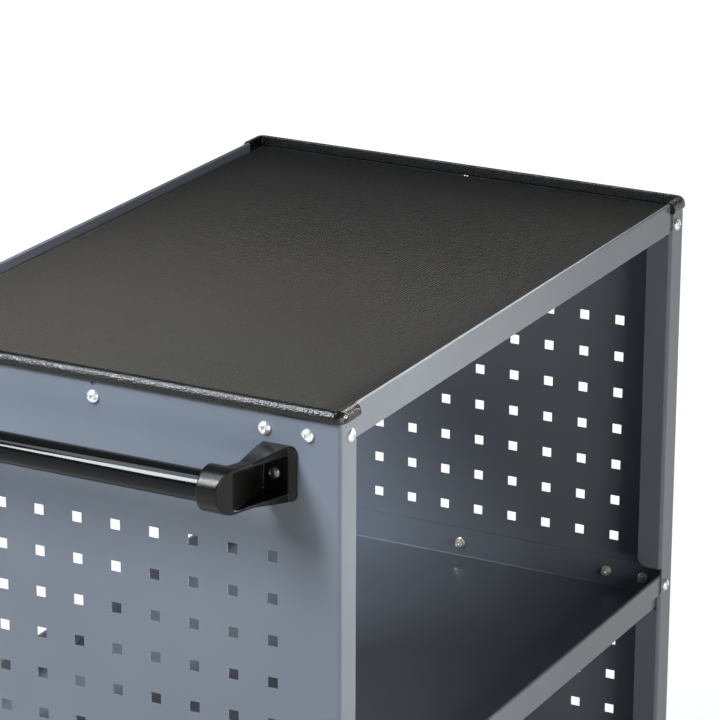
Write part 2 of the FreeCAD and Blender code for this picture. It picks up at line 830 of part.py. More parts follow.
def place_bracket(body, size, rear):
    """Put a bracket on the handle end; the rear one is turned over about the X axis."""
    end = size["cart_length"] / 2
    angle = 180 if rear else 0
    return put(body, size, -end, z=size["handle_height"], axis=ALONG, angle=angle)


def polygon(radius, sides, turn=0.0):
    """The corners of a regular polygon with a given radius to its corners."""
    corners = []
    for number in range(sides):
        angle = 2 * math.pi * (number + turn) / sides
        corners.append((radius * math.cos(angle), radius * math.sin(angle)))
    return corners


def button_head(doc, label, size):
    """A screw's button head on the face at x = 0, which hides its shank. It stands out to -X."""
    body = make_body(doc, label)
    sketch = make_sketch(body, "outline", "YZ_Plane")
    draw_outline(sketch, polygon(size["screw_head"] / 2, SMALL_ROUND_SIDES, 0.5))
    pad(body, "head", sketch, size["screw_head_height"], reverse=True)
    return body


def copies(doc, label, size, piece, places):
    """One node of equal pieces. Each place is (x, y, z, turn about the vertical)."""
    links = []
    for number, (x, y, z, turn) in enumerate(places, start=1):
        link = doc.addObject("App::Link", f"{label}_{number}")
        link.LinkedObject = piece
        links.append(put(link, size, x, y, z, UP, turn))
    group = doc.addObject("Part::Compound", label)
    group.Label = label
    group.Links = links
    return group


def end_places(size, level, far):
    """Places of one end panel's screws."""
    places = []
    end = size["cart_length"] / 2
    for height in end_screw_levels(size, level):
        for across in end_screw_places(size):
            places.append((end if far else -end, across, height, 180 if far else 0))
    return places


def side_places(size, level):
    """Places of the screws in the side faces of the four posts."""
    places = []
    along = size["cart_length"] / 2 - size["side_screw_inset"]
    side = size["cart_width"] / 2
    for height in side_screw_levels(size, level):
        for end in (-1, 1):
            places.append((along * end, -side, height, 90))
            places.append((along * end, side, height, -90))
    return places


def bracket_places(size):
    """Places of the two bracket screws, which sit on the floors of the brackets' pockets."""
    end = size["cart_length"] / 2 + size["bracket_floor"]
    across = from_side(size, "bracket_screw_inset")
    return [(-end, across * side, size["handle_height"], 0) for side in (-1, 1)]


def small_fasteners(doc, size, level):
    """The screws of the panels and the handle brackets."""
    head = button_head(doc, "screw_form", size)
    return [
        copies(doc, "handle_end_screws", size, head, end_places(size, level, False)),
        copies(doc, "far_end_screws", size, head, end_places(size, level, True)),
        copies(doc, "side_screws", size, head, side_places(size, level)),
        copies(doc, "handle_bracket_screws", size, head, bracket_places(size)),
    ]


def castor_levels(size):
    """The castor's heights over the floor."""
    rise = {}
    rise["top"] = size["castor_height"]
    rise["plate"] = rise["top"] - size["plate_steel"]
    rise["crown"] = rise["plate"] - size["crown_drop"]
    rise["crown_under"] = rise["crown"] - size["fork_steel"]
    rise["axle"] = size["wheel_diameter"] / 2
    return rise


def fork_inner(size):
    """Half the space between a fork's legs."""
    return size["hub_width"] / 2 + size["hub_side_gap"]


def fork_plate(body, size):
    """The plate that lies under the bottom shelf."""
    half_x = size["plate_length"] / 2
    half_y = size["plate_width"] / 2
    sketch = make_sketch(body, "plate_outline", "XY_Plane", castor_levels(size)["plate"])
    draw_outline(sketch, rectangle(-half_x, -half_y, half_x, half_y))
    pad(body, "plate", sketch, size["plate_steel"])


def leg_end(size, axle_x):
    """The lower end of a fork's leg, tapered in two steps below the axle."""
    rise = castor_levels(size)["axle"]
    wide = size["fork_end_radius"]
    return [
        (axle_x - wide, rise),
        (axle_x - wide * 0.7, rise - wide * 0.7),
        (axle_x - wide * 0.3, rise - wide),
        (axle_x + wide * 0.3, rise - wide),
        (axle_x + wide * 0.7, rise - wide * 0.7),
        (axle_x + wide, rise),
    ]


def hollow_fork(body, size, axle_x, roof):
    """Open the fork between its legs, and pierce both legs for the axle."""
    rise = castor_levels(size)
    sketch = make_sketch(body, "fork_space", "XZ_Plane")
    far = size["wheel_diameter"]
    draw_outline(sketch, rectangle(axle_x - far, 0.0, axle_x + far, roof))
    cut(body, "fork_space_cut", sketch, fork_inner(size) * 2, both_ways=True)
    sketch = make_sketch(body, "axle_hole", "XZ_Plane")
    draw_outline(sketch, square_hole(axle_x, rise["axle"], size["axle"] + size["running_gap"]))
    cut(body, "axle_hole_cut", sketch, size["hub_width"] * 2, both_ways=True)


def fixed_fork(doc, label, size):
    """A fixed castor's housing: a plate with two legs folded down to the axle."""
    rise = castor_levels(size)
    body = make_body(doc, label)
    fork_plate(body, size)
    wide = size["fork_leg_width"] * 0.75
    sketch = make_sketch(body, "legs_outline", "XZ_Plane")
    corners = [(-wide, rise["plate"])] + leg_end(size, 0.0) + [(wide, rise["plate"])]
    draw_outline(sketch, corners)
    width = (fork_inner(size) + size["fork_steel"]) * 2
    pad(body, "legs", sketch, width, both_ways=True)
    hollow_fork(body, size, as_size(0.0), rise["plate"])
    return body


def pedal_pivot(size):
    """The brake pedal's pin: (x, z), behind the axle and under the crown."""
    rise = castor_levels(size)
    back = size["fork_trail"] + size["pedal_pivot_back"]
    return -back, rise["crown_under"] - size["pedal_pivot_drop"]


def swivel_fork(doc, label, size):
    """A swivelling castor's fork: a crown under the ball race with two legs swept back to the axle."""
    rise = castor_levels(size)
    body = make_body(doc, label)
    axle_x = -size["fork_trail"]
    pivot_x, pivot_z = pedal_pivot(size)
    front = size["fork_leg_width"] / 2
    back = pivot_x - size["pedal_pin"]
    sketch = make_sketch(body, "legs_outline", "XZ_Plane")
    corners = [
        (back, rise["crown"]),
        (back, pivot_z - size["pedal_pin"]),
        *leg_end(size, axle_x),
        (front, rise["crown_under"] - size["fork_steel"] * 2),
        (front, rise["crown"]),
    ]
    draw_outline(sketch, corners)
    width = (fork_inner(size) + size["fork_steel"]) * 2
    pad(body, "legs", sketch, width, both_ways=True)
    hollow_fork(body, size, axle_x, rise["crown_under"])
    sketch = make_sketch(body, "king_pin_hole", "XY_Plane", rise["crown_under"])
    draw_outline(sketch, square_hole(0.0, 0.0, size["king_pin"] + size["running_gap"]))
    cut(body, "king_pin_hole_cut", sketch, size["fork_steel"], reverse=True)
    sketch = make_sketch(body, "pedal_pin_hole", "XZ_Plane")
    draw_outline(sketch, square_hole(pivot_x, pivot_z, size["pedal_pin"] + size["running_gap"]))
    cut(body, "pedal_pin_hole_cut", sketch, size["hub_width"] * 2, both_ways=True)
    return body


def swivel_plate(doc, label, size):
    """A swivelling castor's plate with its ball race and the king pin riveted into it."""
    rise = castor_levels(size)
    body = make_body(doc, label)
    fork_plate(body, size)
    low = rise["crown"] + size["race_gap"]
    sketch = make_sketch(body, "race_outline", "XY_Plane", low)
    draw_circle(sketch, 0.0, 0.0, size["race_diameter"])
    pad(body, "race", sketch, rise["plate"] - low)
    head_top = rise["crown_under"] - size["race_gap"]
    sketch = make_sketch(body, "king_pin_outline", "XY_Plane", head_top)
    draw_circle(sketch, 0.0, 0.0, size["king_pin"])
    pad(body, "king_pin", sketch, low - head_top)
    sketch = make_sketch(body, "king_pin_head_outline", "XY_Plane", head_top)
    draw_outline(sketch, polygon(size["king_pin"] * 0.85, SMALL_ROUND_SIDES))
    pad(body, "king_pin_head", sketch, size["fork_steel"], reverse=True)
    return body


def brake_pedal(doc, label, size):
    """The brake pedal: a tread, a shoe over the tyre and a barrel on the pin. The pin is its origin."""
    body = make_body(doc, label)
    width = size["pedal_width"]
    steel = size["pedal_steel"]
    barrel = size["pedal_pin"] / 2 + steel * 0.7
    long = size["pedal_length"]
    sketch = make_sketch(body, "side_outline", "XZ_Plane")
    corners = [
        (barrel, -steel),
        (barrel, barrel, barrel),
        (-steel, barrel),
        (-barrel, steel),
        (-long * 0.6, 0.0),
        (-long, steel),
        (-long, 0.0),
        (-long * 0.58, -steel),
        (-long * 0.52, -size["pedal_shoe"]),
        (-long * 0.36, -size["pedal_shoe"]),
        (-long * 0.3, -steel),
        (-barrel, -steel),
        (-steel, -barrel),
        (steel, -barrel),
    ]
    draw_outline(sketch, corners)
    pad(body, "pedal", sketch, width, both_ways=True)
    sketch = make_sketch(body, "pin_hole", "XZ_Plane")
    draw_outline(sketch, square_hole(0.0, 0.0, size["pedal_pin"] + size["running_gap"]))
    cut(body, "pin_hole_cut", sketch, width * 2, both_ways=True)
    return body


def pedal_pin(doc, label, size):
    """The pin that the brake pedal turns on, riveted into the fork's legs."""
    body = make_body(doc, label)
    sketch = make_sketch(body, "section", "XZ_Plane")
    draw_outline(sketch, polygon(size["pedal_pin"] / 2, SMALL_ROUND_SIDES, 0.5))
    pad(body, "pin", sketch, (fork_inner(size) + size["fork_steel"]) * 2, both_ways=True)
    return body


def wheel(doc, label, size):
    """The wheel in one piece, bored for its axle, which is its origin."""
    body = make_body(doc, label)
    sketch = make_sketch(body, "tread_section", "XZ_Plane")
    draw_circle(sketch, 0.0, 0.0, size["wheel_diameter"])
    draw_circle(sketch, 0.0, 0.0, size["axle"] + size["running_gap"])
    pad(body, "tread", sketch, size["tread_width"], both_ways=True)
    return body


def axle_pin(doc, label, size):
    """The pin that the wheel turns on, riveted flush with the fork's legs."""
    body = make_body(doc, label)
    sketch = make_sketch(body, "section", "XZ_Plane")
    draw_circle(sketch, 0.0, 0.0, size["axle"])
    pad(body, "axle", sketch, (fork_inner(size) + size["fork_steel"]) * 2, both_ways=True)
    return body


def castor(doc, size, side, swivels):
    """One castor with its wheel. The name says which side and which kind."""
    rise = castor_levels(size)
    inset_x, inset_y = castor_places(size)
    x = -inset_x if swivels else inset_x
    y = -inset_y if side == "front" else inset_y
    kind = "swivel" if swivels else "fixed"
    name = f"{side}_{kind}"
    axle_x = x - size["fork_trail"] if swivels else x
    if swivels:
        upright = [swivel_plate(doc, f"{name}_plate", size), swivel_fork(doc, f"{name}_fork", size)]
    else:
        upright = [fixed_fork(doc, f"{name}_fork", size)]
    pieces = [put(item, size, x, y) for item in upright]
    for item in (wheel(doc, f"{name}_wheel", size), axle_pin(doc, f"{name}_axle", size)):
        pieces.append(put(item, size, axle_x, y, rise["axle"]))
    if swivels:
        pivot_x, pivot_z = pedal_pivot(size)
        pedal = brake_pedal(doc, f"{side}_brake_pedal", size)
        pin = pedal_pin(doc, f"{side}_pedal_pin", size)
        for item in (pedal, pin):
            pieces.append(put(item, size, x + pivot_x, y, pivot_z))
    return pieces


def build_cart(doc):
    """Every piece of the cart, each in its own node."""
    size = make_sheet(doc)
    level = heights(size)
    pieces = [
        place_on_end(end_panel(doc, "handle_end_panel", size, level), size, False),
        place_on_end(end_panel(doc, "far_end_panel", size, level), size, True),
        place_on_end(edge_trim(doc, "handle_end_edge_trim", size, level), size, False),
        place_on_end(edge_trim(doc, "far_end_edge_trim", size, level), size, True),
        put(top_tray(doc, size, level), size),
        tray_mat(doc, size, level),
        put(shelf(doc, "middle_shelf", size, level["middle_floor"]), size),
    ]
    pieces.append(put(shelf(doc, "bottom_shelf", size, level["bottom_floor"]), size))
    pieces.append(put(handle_tube(doc, size), size))
    for side in ("front", "rear"):
        bracket = handle_bracket(doc, f"{side}_handle_bracket", size)
        pieces.append(place_bracket(bracket, size, side == "rear"))
    pieces += small_fasteners(doc, size, level)
    for side in ("front", "rear"):
        for swivels in (True, False):
            pieces += castor(doc, size, side, swivels)
    return pieces


def export_pieces(doc, pieces):
    """Check each piece, then write its file."""
    os.makedirs("parts", exist_ok=True)
    for item in doc.Objects:
        for state in ("Invalid", "Error"):
            if state in item.State:
                raise ValueError(f"{item.Name} is {state}")
    for piece in pieces:
        shape = piece.Shape
        if shape.isNull() or not shape.isValid() or not shape.Solids:
            raise ValueError(f"{piece.Label} has no sound shape")
        shape.exportStep(f"parts/{piece.Label}.step")
    print(len(pieces), "pieces written")


document = FreeCAD.newDocument("service_cart")
cart_pieces = build_cart(document)
document.recompute()
export_pieces(document, cart_pieces)
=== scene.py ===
"""The service cart's looks: finishes, trims, mat, handle, screws and castors on its CAD frame."""

import math

import bmesh
import bpy
from bpy.props import FloatProperty, FloatVectorProperty, IntProperty, PointerProperty
from bpy.types import Operator, Panel, PropertyGroup
from mathutils import Matrix, Vector


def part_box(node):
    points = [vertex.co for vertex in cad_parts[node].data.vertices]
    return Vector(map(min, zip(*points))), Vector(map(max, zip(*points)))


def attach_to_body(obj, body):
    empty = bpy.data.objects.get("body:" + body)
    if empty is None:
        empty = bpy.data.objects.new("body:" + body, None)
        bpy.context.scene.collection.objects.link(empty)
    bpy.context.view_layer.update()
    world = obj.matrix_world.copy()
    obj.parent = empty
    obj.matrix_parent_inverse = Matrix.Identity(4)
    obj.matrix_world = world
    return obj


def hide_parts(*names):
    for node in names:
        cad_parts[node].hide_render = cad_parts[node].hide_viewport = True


bl_info = {
    "name": "Service Cart",
    "version": (1, 0, 0),
    "blender": (4, 5, 0),
    "location": "3D View > Sidebar > Service Cart",
    "description": "Builds the looks of a perforated steel service cart around its CAD frame",
    "category": "Object",
}

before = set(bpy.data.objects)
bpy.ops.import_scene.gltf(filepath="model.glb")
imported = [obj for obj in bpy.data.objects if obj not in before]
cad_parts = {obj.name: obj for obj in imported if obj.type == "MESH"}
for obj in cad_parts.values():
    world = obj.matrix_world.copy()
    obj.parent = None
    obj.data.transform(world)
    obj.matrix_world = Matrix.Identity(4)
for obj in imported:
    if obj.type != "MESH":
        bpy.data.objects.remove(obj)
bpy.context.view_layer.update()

SIDES = ("front", "rear")
SWIVELS = ("front_swivel", "rear_swivel")
FIXED = ("front_fixed", "rear_fixed")
SHELVES = ("bottom_shelf", "middle_shelf")
PANELS = ("handle_end_panel", "far_end_panel")

# Points round a small form, the handle tube and a wheel.
ROUND = 24
TUBE_ROUND = 64
WHEEL_ROUND = 72
# The wheel's bore round its axle, in metres.
AXLE_GAP = 0.00005
# A mat rib's outline from its groove: share of the pitch, share of the rib's height.
RIB_OUTLINE = (
    (0.0, 0.0),
    (0.22, 0.0),
    (0.3, 0.55),
    (0.46, 0.94),
    (0.61, 1.0),
    (0.76, 0.94),
    (0.92, 0.55),
)


def length(default, name, description):
    """A property for a size in metres."""
    return FloatProperty(
        name=name, description=description, default=default, min=0.0, precision=4, unit="LENGTH"
    )


def colour(default, name, description):
    """A property for a colour."""
    return FloatVectorProperty(
        name=name,
        description=description,
        default=default,
        min=0.0,
        max=1.0,
        size=3,
        subtype="COLOR",
    )


def share(default, name, description):
    """A property for a share from 0 to 1."""
    return FloatProperty(
        name=name, description=description, default=default, min=0.0, max=1.0, subtype="FACTOR"
    )


def power(default, name, description):
    """A property for a lamp's power in watts."""
    return FloatProperty(
        name=name, description=description, default=default, min=0.0, unit="POWER"
    )


class CameraSettings(PropertyGroup):
    place: FloatVectorProperty(
        name="Place",
        description="Where the camera stands",
        default=(-2.8292, -1.5645, 1.9337),
        size=3,
        subtype="TRANSLATION",
        unit="LENGTH",
    )
    turn: FloatProperty(
        name="Turn",
        description="Heading of the camera round the cart",
        default=math.radians(-62.418),
        subtype="ANGLE",
    )
    height_angle: FloatProperty(
        name="Height Angle",
        description="How steeply the camera looks down",
        default=math.radians(18.868),
        subtype="ANGLE",
    )
    roll: FloatProperty(
        name="Roll",
        description="Turn of the camera about its own line of sight",
        default=math.radians(0.229),
        subtype="ANGLE",
    )
    lens: FloatProperty(
        name="Lens",
        description="Focal length of the lens",
        default=186.72,
        min=1.0,
        unit="CAMERA",
    )


class StageSettings(PropertyGroup):
    floor_side: length(16.0, "Floor Side", "Side of the square floor")
    floor_colour: colour((0.5, 0.5, 0.5), "Floor Colour", "Colour of the pale floor")
    floor_glow: share(0.74, "Floor Glow", "White that the floor adds round the cart")
    ceiling: share(0.12, "Ceiling", "Soft light from all round")
    horizon: share(1.0, "Horizon", "White of the backdrop near the horizon where it is seen")
    key_power: power(1.0, "Key Power", "Soft light on the near corner")
    front_power: power(18.0, "Front Power", "Broad soft light in front of the open side")
    end_power: power(54.0, "End Power", "Cool soft light above the handle end")
    rib_power: power(0.9, "Rib Power", "Small soft light that picks out the mat's ribs")
    top_power: power(6.0, "Top Power", "Cool soft light over the handle and the mat")
    warm: colour((1.0, 0.95, 0.86), "Warm Light", "Tint of the key light")
    cool: colour((0.88, 0.95, 1.0), "Cool Light", "Tint of the back light")


class FinishSettings(PropertyGroup):
    paint: colour((0.170, 0.194, 0.236), "Paint", "Blue-grey powder coat of the sheet steel")
    trim: colour((0.007, 0.007, 0.0066), "Edge Trim", "Leather-grained black edge trim")
    mat: colour((0.009, 0.009, 0.0088), "Mat", "Black ribbed rubber")
    tube: colour((0.004, 0.004, 0.0045), "Tube", "Gloss black paint of the handle tube")
    plastic: colour((0.0055, 0.0055, 0.0055), "Brackets", "Fine-grained black moulding")
    zinc: colour((0.84, 0.86, 0.89), "Zinc", "Bright zinc plate of screws and castors")
    yellow_zinc: colour((0.96, 0.93, 0.80), "Yellow Zinc", "Faintly yellow plate of the nuts")
    black_steel: colour((0.16, 0.16, 0.165), "Black Steel", "Blackened screws of the brackets")
    tyre: colour((0.045, 0.046, 0.048), "Tyre", "Dark grey rubber of the tyres")
    wheel_core: colour((0.16, 0.165, 0.17), "Wheel Core", "Grey plastic inside the tyres")


class TrimSettings(PropertyGroup):
    crown: length(0.0088, "Crown", "Height of the rounded shoulder on the trim's outer side")
    inner_round: length(0.0009, "Inner Round", "Radius of the trim's inner upper edge")
    foot_round: length(0.0024, "Foot Round", "Radius of the trim's lower edges")
    corner: length(0.0105, "Corner", "Outer radius of the trim where it goes round a corner")
    end_round: length(0.0012, "End Round", "Rounding of the trim's cut ends")


class MatSettings(PropertyGroup):
    rib_pitch: length(0.0030, "Rib Pitch", "Distance from one rib to the next")
    rib_height: length(0.0014, "Rib Height", "Height of a rib over the groove beside it")


class HandleSettings(PropertyGroup):
    skin: length(0.0006, "Skin", "Mesh width of the brackets' moulded skin")
    soften: IntProperty(
        name="Soften", description="Steps that soften the brackets' edges", default=14, min=0
    )


class ScrewSettings(PropertyGroup):
    head: length(0.0116, "Head", "Diameter of a button head")
    head_height: length(0.0033, "Head Height", "Height of a button head")
    socket: length(0.0040, "Socket", "Hexagon socket over its flats")
    socket_depth: length(0.0020, "Socket Depth", "Depth of the hexagon socket")
    thread: length(0.0050, "Thread", "Diameter of the screw's thread")
    nut: length(0.0080, "Nut", "Nut over its flats")
    nut_height: length(0.0038, "Nut Height", "Height of a nut")
    nut_flange: length(0.0108, "Nut Flange", "Diameter of a nut's flange")
    thread_end: length(0.0042, "Thread End", "Screw beyond its nut")
    edge: length(0.0305, "Edge", "Side face to the outermost end screw")
    pair: length(0.0400, "Pair", "Outermost end screw to its neighbour")
    rise: length(0.0150, "Rise", "End screws over a shelf's floor")
    side_rise: length(0.0190, "Side Rise", "Side screws over a shelf's floor")
    side_inset: length(0.0175, "Side Inset", "End face to a side screw")
    tray_drop: length(0.0113, "Tray Drop", "Screws below the tray's floor")
    panel_steel: length(0.0015, "Panel Steel", "Sheet of the end panels")
    shelf_steel: length(0.0012, "Shelf Steel", "Sheet of the shelves and the tray")
    hem_gap: length(0.0016, "Hem Gap", "Open space inside a shelf's folded rim")


class CastorSettings(PropertyGroup):
    edge_round: length(0.0008, "Edge Round", "Rounding of pressed steel edges")
    plate_steel: length(0.0030, "Plate Steel", "Thickness of a castor plate")
    tyre_depth: length(0.0150, "Tyre Depth", "Depth of the tyre round its core")
    tread_round: length(0.0070, "Tread Round", "Radius of the tread's shoulders")
    tread_crown: length(0.0008, "Tread Crown", "Height of the tread's middle over its shoulders")
    bead: length(0.0020, "Bead", "Step of the tyre's side beside its core")
    hub: length(0.0340, "Hub", "Diameter of the wheel's hub")
    web: length(0.0100, "Web", "Thickness of the core between hub and tyre")
    ring_wall: length(0.0045, "Ring Wall", "Wall of the core's ring under the tyre")
    draft: length(0.0015, "Draft", "Slope of the core's recessed walls")
    rib_half: length(0.0016, "Rib Half", "Half the thickness of a core's rib at its foot")
    rib_inset: length(0.0050, "Rib Inset", "Core's rim to the outer end of a rib")
    ribs: IntProperty(name="Ribs", description="Ribs on each face of the core", default=8, min=0)
    pin_head: length(0.0012, "Pin Head", "A brake pedal's pin beyond the fork")
    bolt: length(0.0130, "Bolt", "Hexagon of the castor bolts over its flats")
    bolt_height: length(0.0053, "Bolt Height", "Height of a castor bolt's head")
    bolt_along: length(0.0800, "Bolts Along", "Distance between a plate's bolts along the cart")
    bolt_across: length(0.0600, "Bolts Across", "Distance between a plate's bolts across the cart")


class ServiceCartSettings(PropertyGroup):
    camera: PointerProperty(type=CameraSettings)
    stage: PointerProperty(type=StageSettings)
    finish: PointerProperty(type=FinishSettings)
    trim: PointerProperty(type=TrimSettings)
    mat: PointerProperty(type=MatSettings)
    handle: PointerProperty(type=HandleSettings)
    screws: PointerProperty(type=ScrewSettings)
    castors: PointerProperty(type=CastorSettings)


def circle(radius, height, count=ROUND):
    """A ring of points about the Z axis."""
    steps = [2 * math.pi * step / count for step in range(count)]
    return [Vector((radius * math.cos(turn), radius * math.sin(turn), height)) for turn in steps]


def hexagon(flats, height, count=ROUND):
    """A hexagonal ring with as many points as a round one. Its size is over the flats."""
    ring = []
    for point in circle(1.0, height, count):
        turn = math.atan2(point.y, point.x)
        off_flat = (turn + math.pi / 6) % (math.pi / 3) - math.pi / 6
        radius = flats / 2 / math.cos(off_flat)
        ring.append(Vector((point.x * radius, point.y * radius, height)))
    return ring


def middle(height):
    """A ring closed to one point on the Z axis."""
    return [Vector((0.0, 0.0, height))]


def loft(mesh, rings, place=None, closed=False):
    """Skin a row of rings with faces. A ring of one point closes the form there."""
    place = place or Matrix.Identity(4)
    rows = [[mesh.verts.new(place @ point) for point in ring] for ring in rings]
    following = rows[1:] + rows[:1] if closed else rows[1:]
    for row, after in zip(rows, following):
        count = max(len(row), len(after))
        for step in range(count):
            onward = (step + 1) % count
            corners = [
                row[step % len(row)],
                row[onward % len(row)],
                after[onward % len(after)],
                after[step % len(after)],
            ]
            face = list(dict.fromkeys(corners))
            if len(face) > 2:
                mesh.faces.new(face)
    return rows


def closed_form(mesh, rings, place=None):
    """Skin a row of rings and close it at both ends."""
    rows = loft(mesh, rings, place)
    for end in (rows[0], rows[-1]):
        if len(end) > 1:
            mesh.faces.new(end)


def facing(point, outward):
    """A placement whose Z axis points outward from a face."""
    turn = Vector((0, 0, 1)).rotation_difference(Vector(outward)).to_matrix().to_4x4()
    return Matrix.Translation(point) @ turn


def make_piece(name, mesh, finish, soft_angle=40.0):
    """Turn a finished mesh into a piece with a smooth surface and crisp edges."""
    bmesh.ops.recalc_face_normals(mesh, faces=mesh.faces)
    data = bpy.data.meshes.new(name)
    mesh.to_mesh(data)
    mesh.free()
    data.materials.append(finish)
    data.shade_smooth()
    data.set_sharp_from_angle(angle=math.radians(soft_angle))
    piece = bpy.data.objects.new(name, data)
    bpy.context.scene.collection.objects.link(piece)
    return piece


def attach(piece, body, slot, *nodes):
    """Make a piece ride on its body and stand for the nodes that it replaces. The slot is not used.
    """
    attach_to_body(piece, body)
    if nodes:
        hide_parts(*nodes)
    return piece


def copy_of_solid(node):
    """A mesh of a CAD node with its faces joined."""
    mesh = bmesh.new()
    mesh.from_mesh(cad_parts[node].data)
    bmesh.ops.remove_doubles(mesh, verts=mesh.verts, dist=1e-6)
    return mesh


def rounded_form(node, name, radius, finish):
    """A copy of a solid with its hard edges rounded."""
    mesh = copy_of_solid(node)
    bmesh.ops.dissolve_limit(
        mesh, angle_limit=math.radians(0.5), verts=mesh.verts[:], edges=mesh.edges[:]
    )
    piece = make_piece(name, mesh, finish, soft_angle=30.0)
    bevel = piece.modifiers.new("rounded edges", "BEVEL")
    bevel.width = radius
    bevel.segments = 2
    bevel.limit_method = "ANGLE"
    bevel.angle_limit = math.radians(32)
    bevel.harden_normals = True
    return piece


def moulded_form(node, name, settings, finish):
    """A copy of a solid with the soft edges of a moulding all over."""
    piece = make_piece(name, copy_of_solid(node), finish, 180.0)
    skin = piece.modifiers.new("even skin", "REMESH")
    skin.mode = "VOXEL"
    skin.voxel_size = settings.skin
    skin.use_smooth_shade = True
    soften = piece.modifiers.new("soft edges", "SMOOTH")
    soften.factor = 0.5
    soften.iterations = settings.soften
    thin = piece.modifiers.new("fewer faces", "DECIMATE")
    thin.ratio = 0.4
    return piece


def start_finish(name):
    """A new material, with its tree and its surface shader."""
    material = bpy.data.materials.get(name)
    if material:
        bpy.data.materials.remove(material)
    material = bpy.data.materials.new(name)
    material.use_nodes = True
    return material, material.node_tree, material.node_tree.nodes["Principled BSDF"]


def link(tree, output, entry):
    tree.links.new(output, entry)


def grain(tree, scale, detail=3.0):
    """Noise in the piece's own space. The scale is in grains per metre."""
    place = tree.nodes.new("ShaderNodeTexCoord")
    noise = tree.nodes.new("ShaderNodeTexNoise")
    noise.inputs["Scale"].default_value = scale
    noise.inputs["Detail"].default_value = detail
    link(tree, place.outputs["Object"], noise.inputs["Vector"])
    return noise.outputs["Fac"]


def cells(tree, scale):
    """Small irregular cells in the piece's own space, as in leather grain."""
    place = tree.nodes.new("ShaderNodeTexCoord")
    pattern = tree.nodes.new("ShaderNodeTexVoronoi")
    pattern.inputs["Scale"].default_value = scale
    link(tree, place.outputs["Object"], pattern.inputs["Vector"])
    return pattern.outputs["Distance"]


def between(tree, value, low, high, start=0.3, end=0.7):
    """Spread the values from start to end between two numbers."""
    spread = tree.nodes.new("ShaderNodeMapRange")
    spread.inputs["From Min"].default_value = start
    spread.inputs["From Max"].default_value = end
    spread.inputs["To Min"].default_value = low
    spread.inputs["To Max"].default_value = high
    link(tree, value, spread.inputs["Value"])
    return spread.outputs["Result"]


def two_tone(tree, value, first, second):
    """Mix two close colours by a noise value."""
    mix = tree.nodes.new("ShaderNodeMix")
    mix.data_type = "RGBA"
    mix.inputs["A"].default_value = (*first, 1.0)
    mix.inputs["B"].default_value = (*second, 1.0)
    link(tree, value, mix.inputs["Factor"])
    return mix.outputs["Result"]


def relief(tree, shader, height, distance, strength=1.0, under=None):
    """Raise the surface by a height pattern. The distance is in metres."""
    bump = tree.nodes.new("ShaderNodeBump")
    bump.inputs["Distance"].default_value = distance
    bump.inputs["Strength"].default_value = strength
    link(tree, height, bump.inputs["Height"])
    if under:
        link(tree, under.outputs["Normal"], bump.inputs["Normal"])
    link(tree, bump.outputs["Normal"], shader.inputs["Normal"])
    return bump


def tinted(base, amount):
    """The colour a little lighter or darker."""
    return tuple(min(1.0, part * amount) for part in base)


def height_in(tree, space):
    """The height of a point, from one of the texture coordinates."""
    source = tree.nodes.new("ShaderNodeTexCoord")
    parts = tree.nodes.new("ShaderNodeSeparateXYZ")
    link(tree, source.outputs[space], parts.inputs["Vector"])
    return parts.outputs["Z"]


def calculate(tree, operation, first, second):
    """A sum on two values, of which the second may be a plain number."""
    step = tree.nodes.new("ShaderNodeMath")
    step.operation = operation
    link(tree, first, step.inputs[0])
    if isinstance(second, float):
        step.inputs[1].default_value = second
    else:
        link(tree, second, step.inputs[1])
    return step.outputs["Value"]


def colour_surface(tree, entry, base, value, dark, light):
    """Colour a surface with two tints of one colour, mixed by a value."""
    link(tree, two_tone(tree, value, tinted(base, dark), tinted(base, light)), entry)


def vary_roughness(tree, shader, scale, low, high):
    """Let the gloss change a little from spot to spot."""
    link(tree, between(tree, grain(tree, scale), low, high), shader.inputs["Roughness"])


def blue_grey_powder_coat(settings):
    """Satin powder coat: an even colour with the faint orange peel of baked powder."""
    material, tree, shader = start_finish("blue_grey_powder_coat")
    broad = between(tree, grain(tree, 9.0, detail=2.0), 0.0, 1.0)
    colour_surface(tree, shader.inputs["Base Color"], settings.paint, broad, 0.96, 1.04)
    vary_roughness(tree, shader, 160.0, 0.2, 0.26)
    shader.inputs["Specular IOR Level"].default_value = 0.3
    relief(tree, shader, grain(tree, 60.0, detail=1.0), 0.00004, 0.12)
    return material


def leather_grained_trim(settings):
    """Soft black edge trim with a leather grain that breaks its highlight up."""
    material, tree, shader = start_finish("leather_grained_trim")
    pebbles = cells(tree, 620.0)
    blotch = between(tree, pebbles, 0.0, 1.0, start=0.1, end=0.6)
    colour_surface(tree, shader.inputs["Base Color"], settings.trim, blotch, 2.0, 0.4)
    vary_roughness(tree, shader, 420.0, 0.18, 0.26)
    shader.inputs["Specular IOR Level"].default_value = 0.45
    coarse = relief(tree, shader, pebbles, 0.0005, 0.55)
    relief(tree, shader, grain(tree, 1500.0), 0.0001, 0.3, under=coarse)
    return material


def ribbed_rubber(settings):
    """Matt black rubber, with a painted highlight that makes its ribs lighter and painted shade
    that makes it darkest down in its grooves.
    """
    material, tree, shader = start_finish("ribbed_mat_rubber")
    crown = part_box("tray_mat")[1].z
    rib = bpy.context.scene.service_cart.mat.rib_height
    low, high = crown - rib * 0.55, crown - rib * 0.25
    # Painted highlight and shade by height: nearly black in the grooves, lighter on the rib crowns.
    rib_highlight_groove_shade = between(tree, height_in(tree, "Object"), 0.0, 1.0, start=low, end=high)
    colour_surface(tree, shader.inputs["Base Color"], settings.mat, rib_highlight_groove_shade, 0.05, 2.2)
    vary_roughness(tree, shader, 260.0, 0.3, 0.42)
    shader.inputs["Specular IOR Level"].default_value = 0.6
    relief(tree, shader, grain(tree, 1800.0), 0.0001, 0.3)
    return material


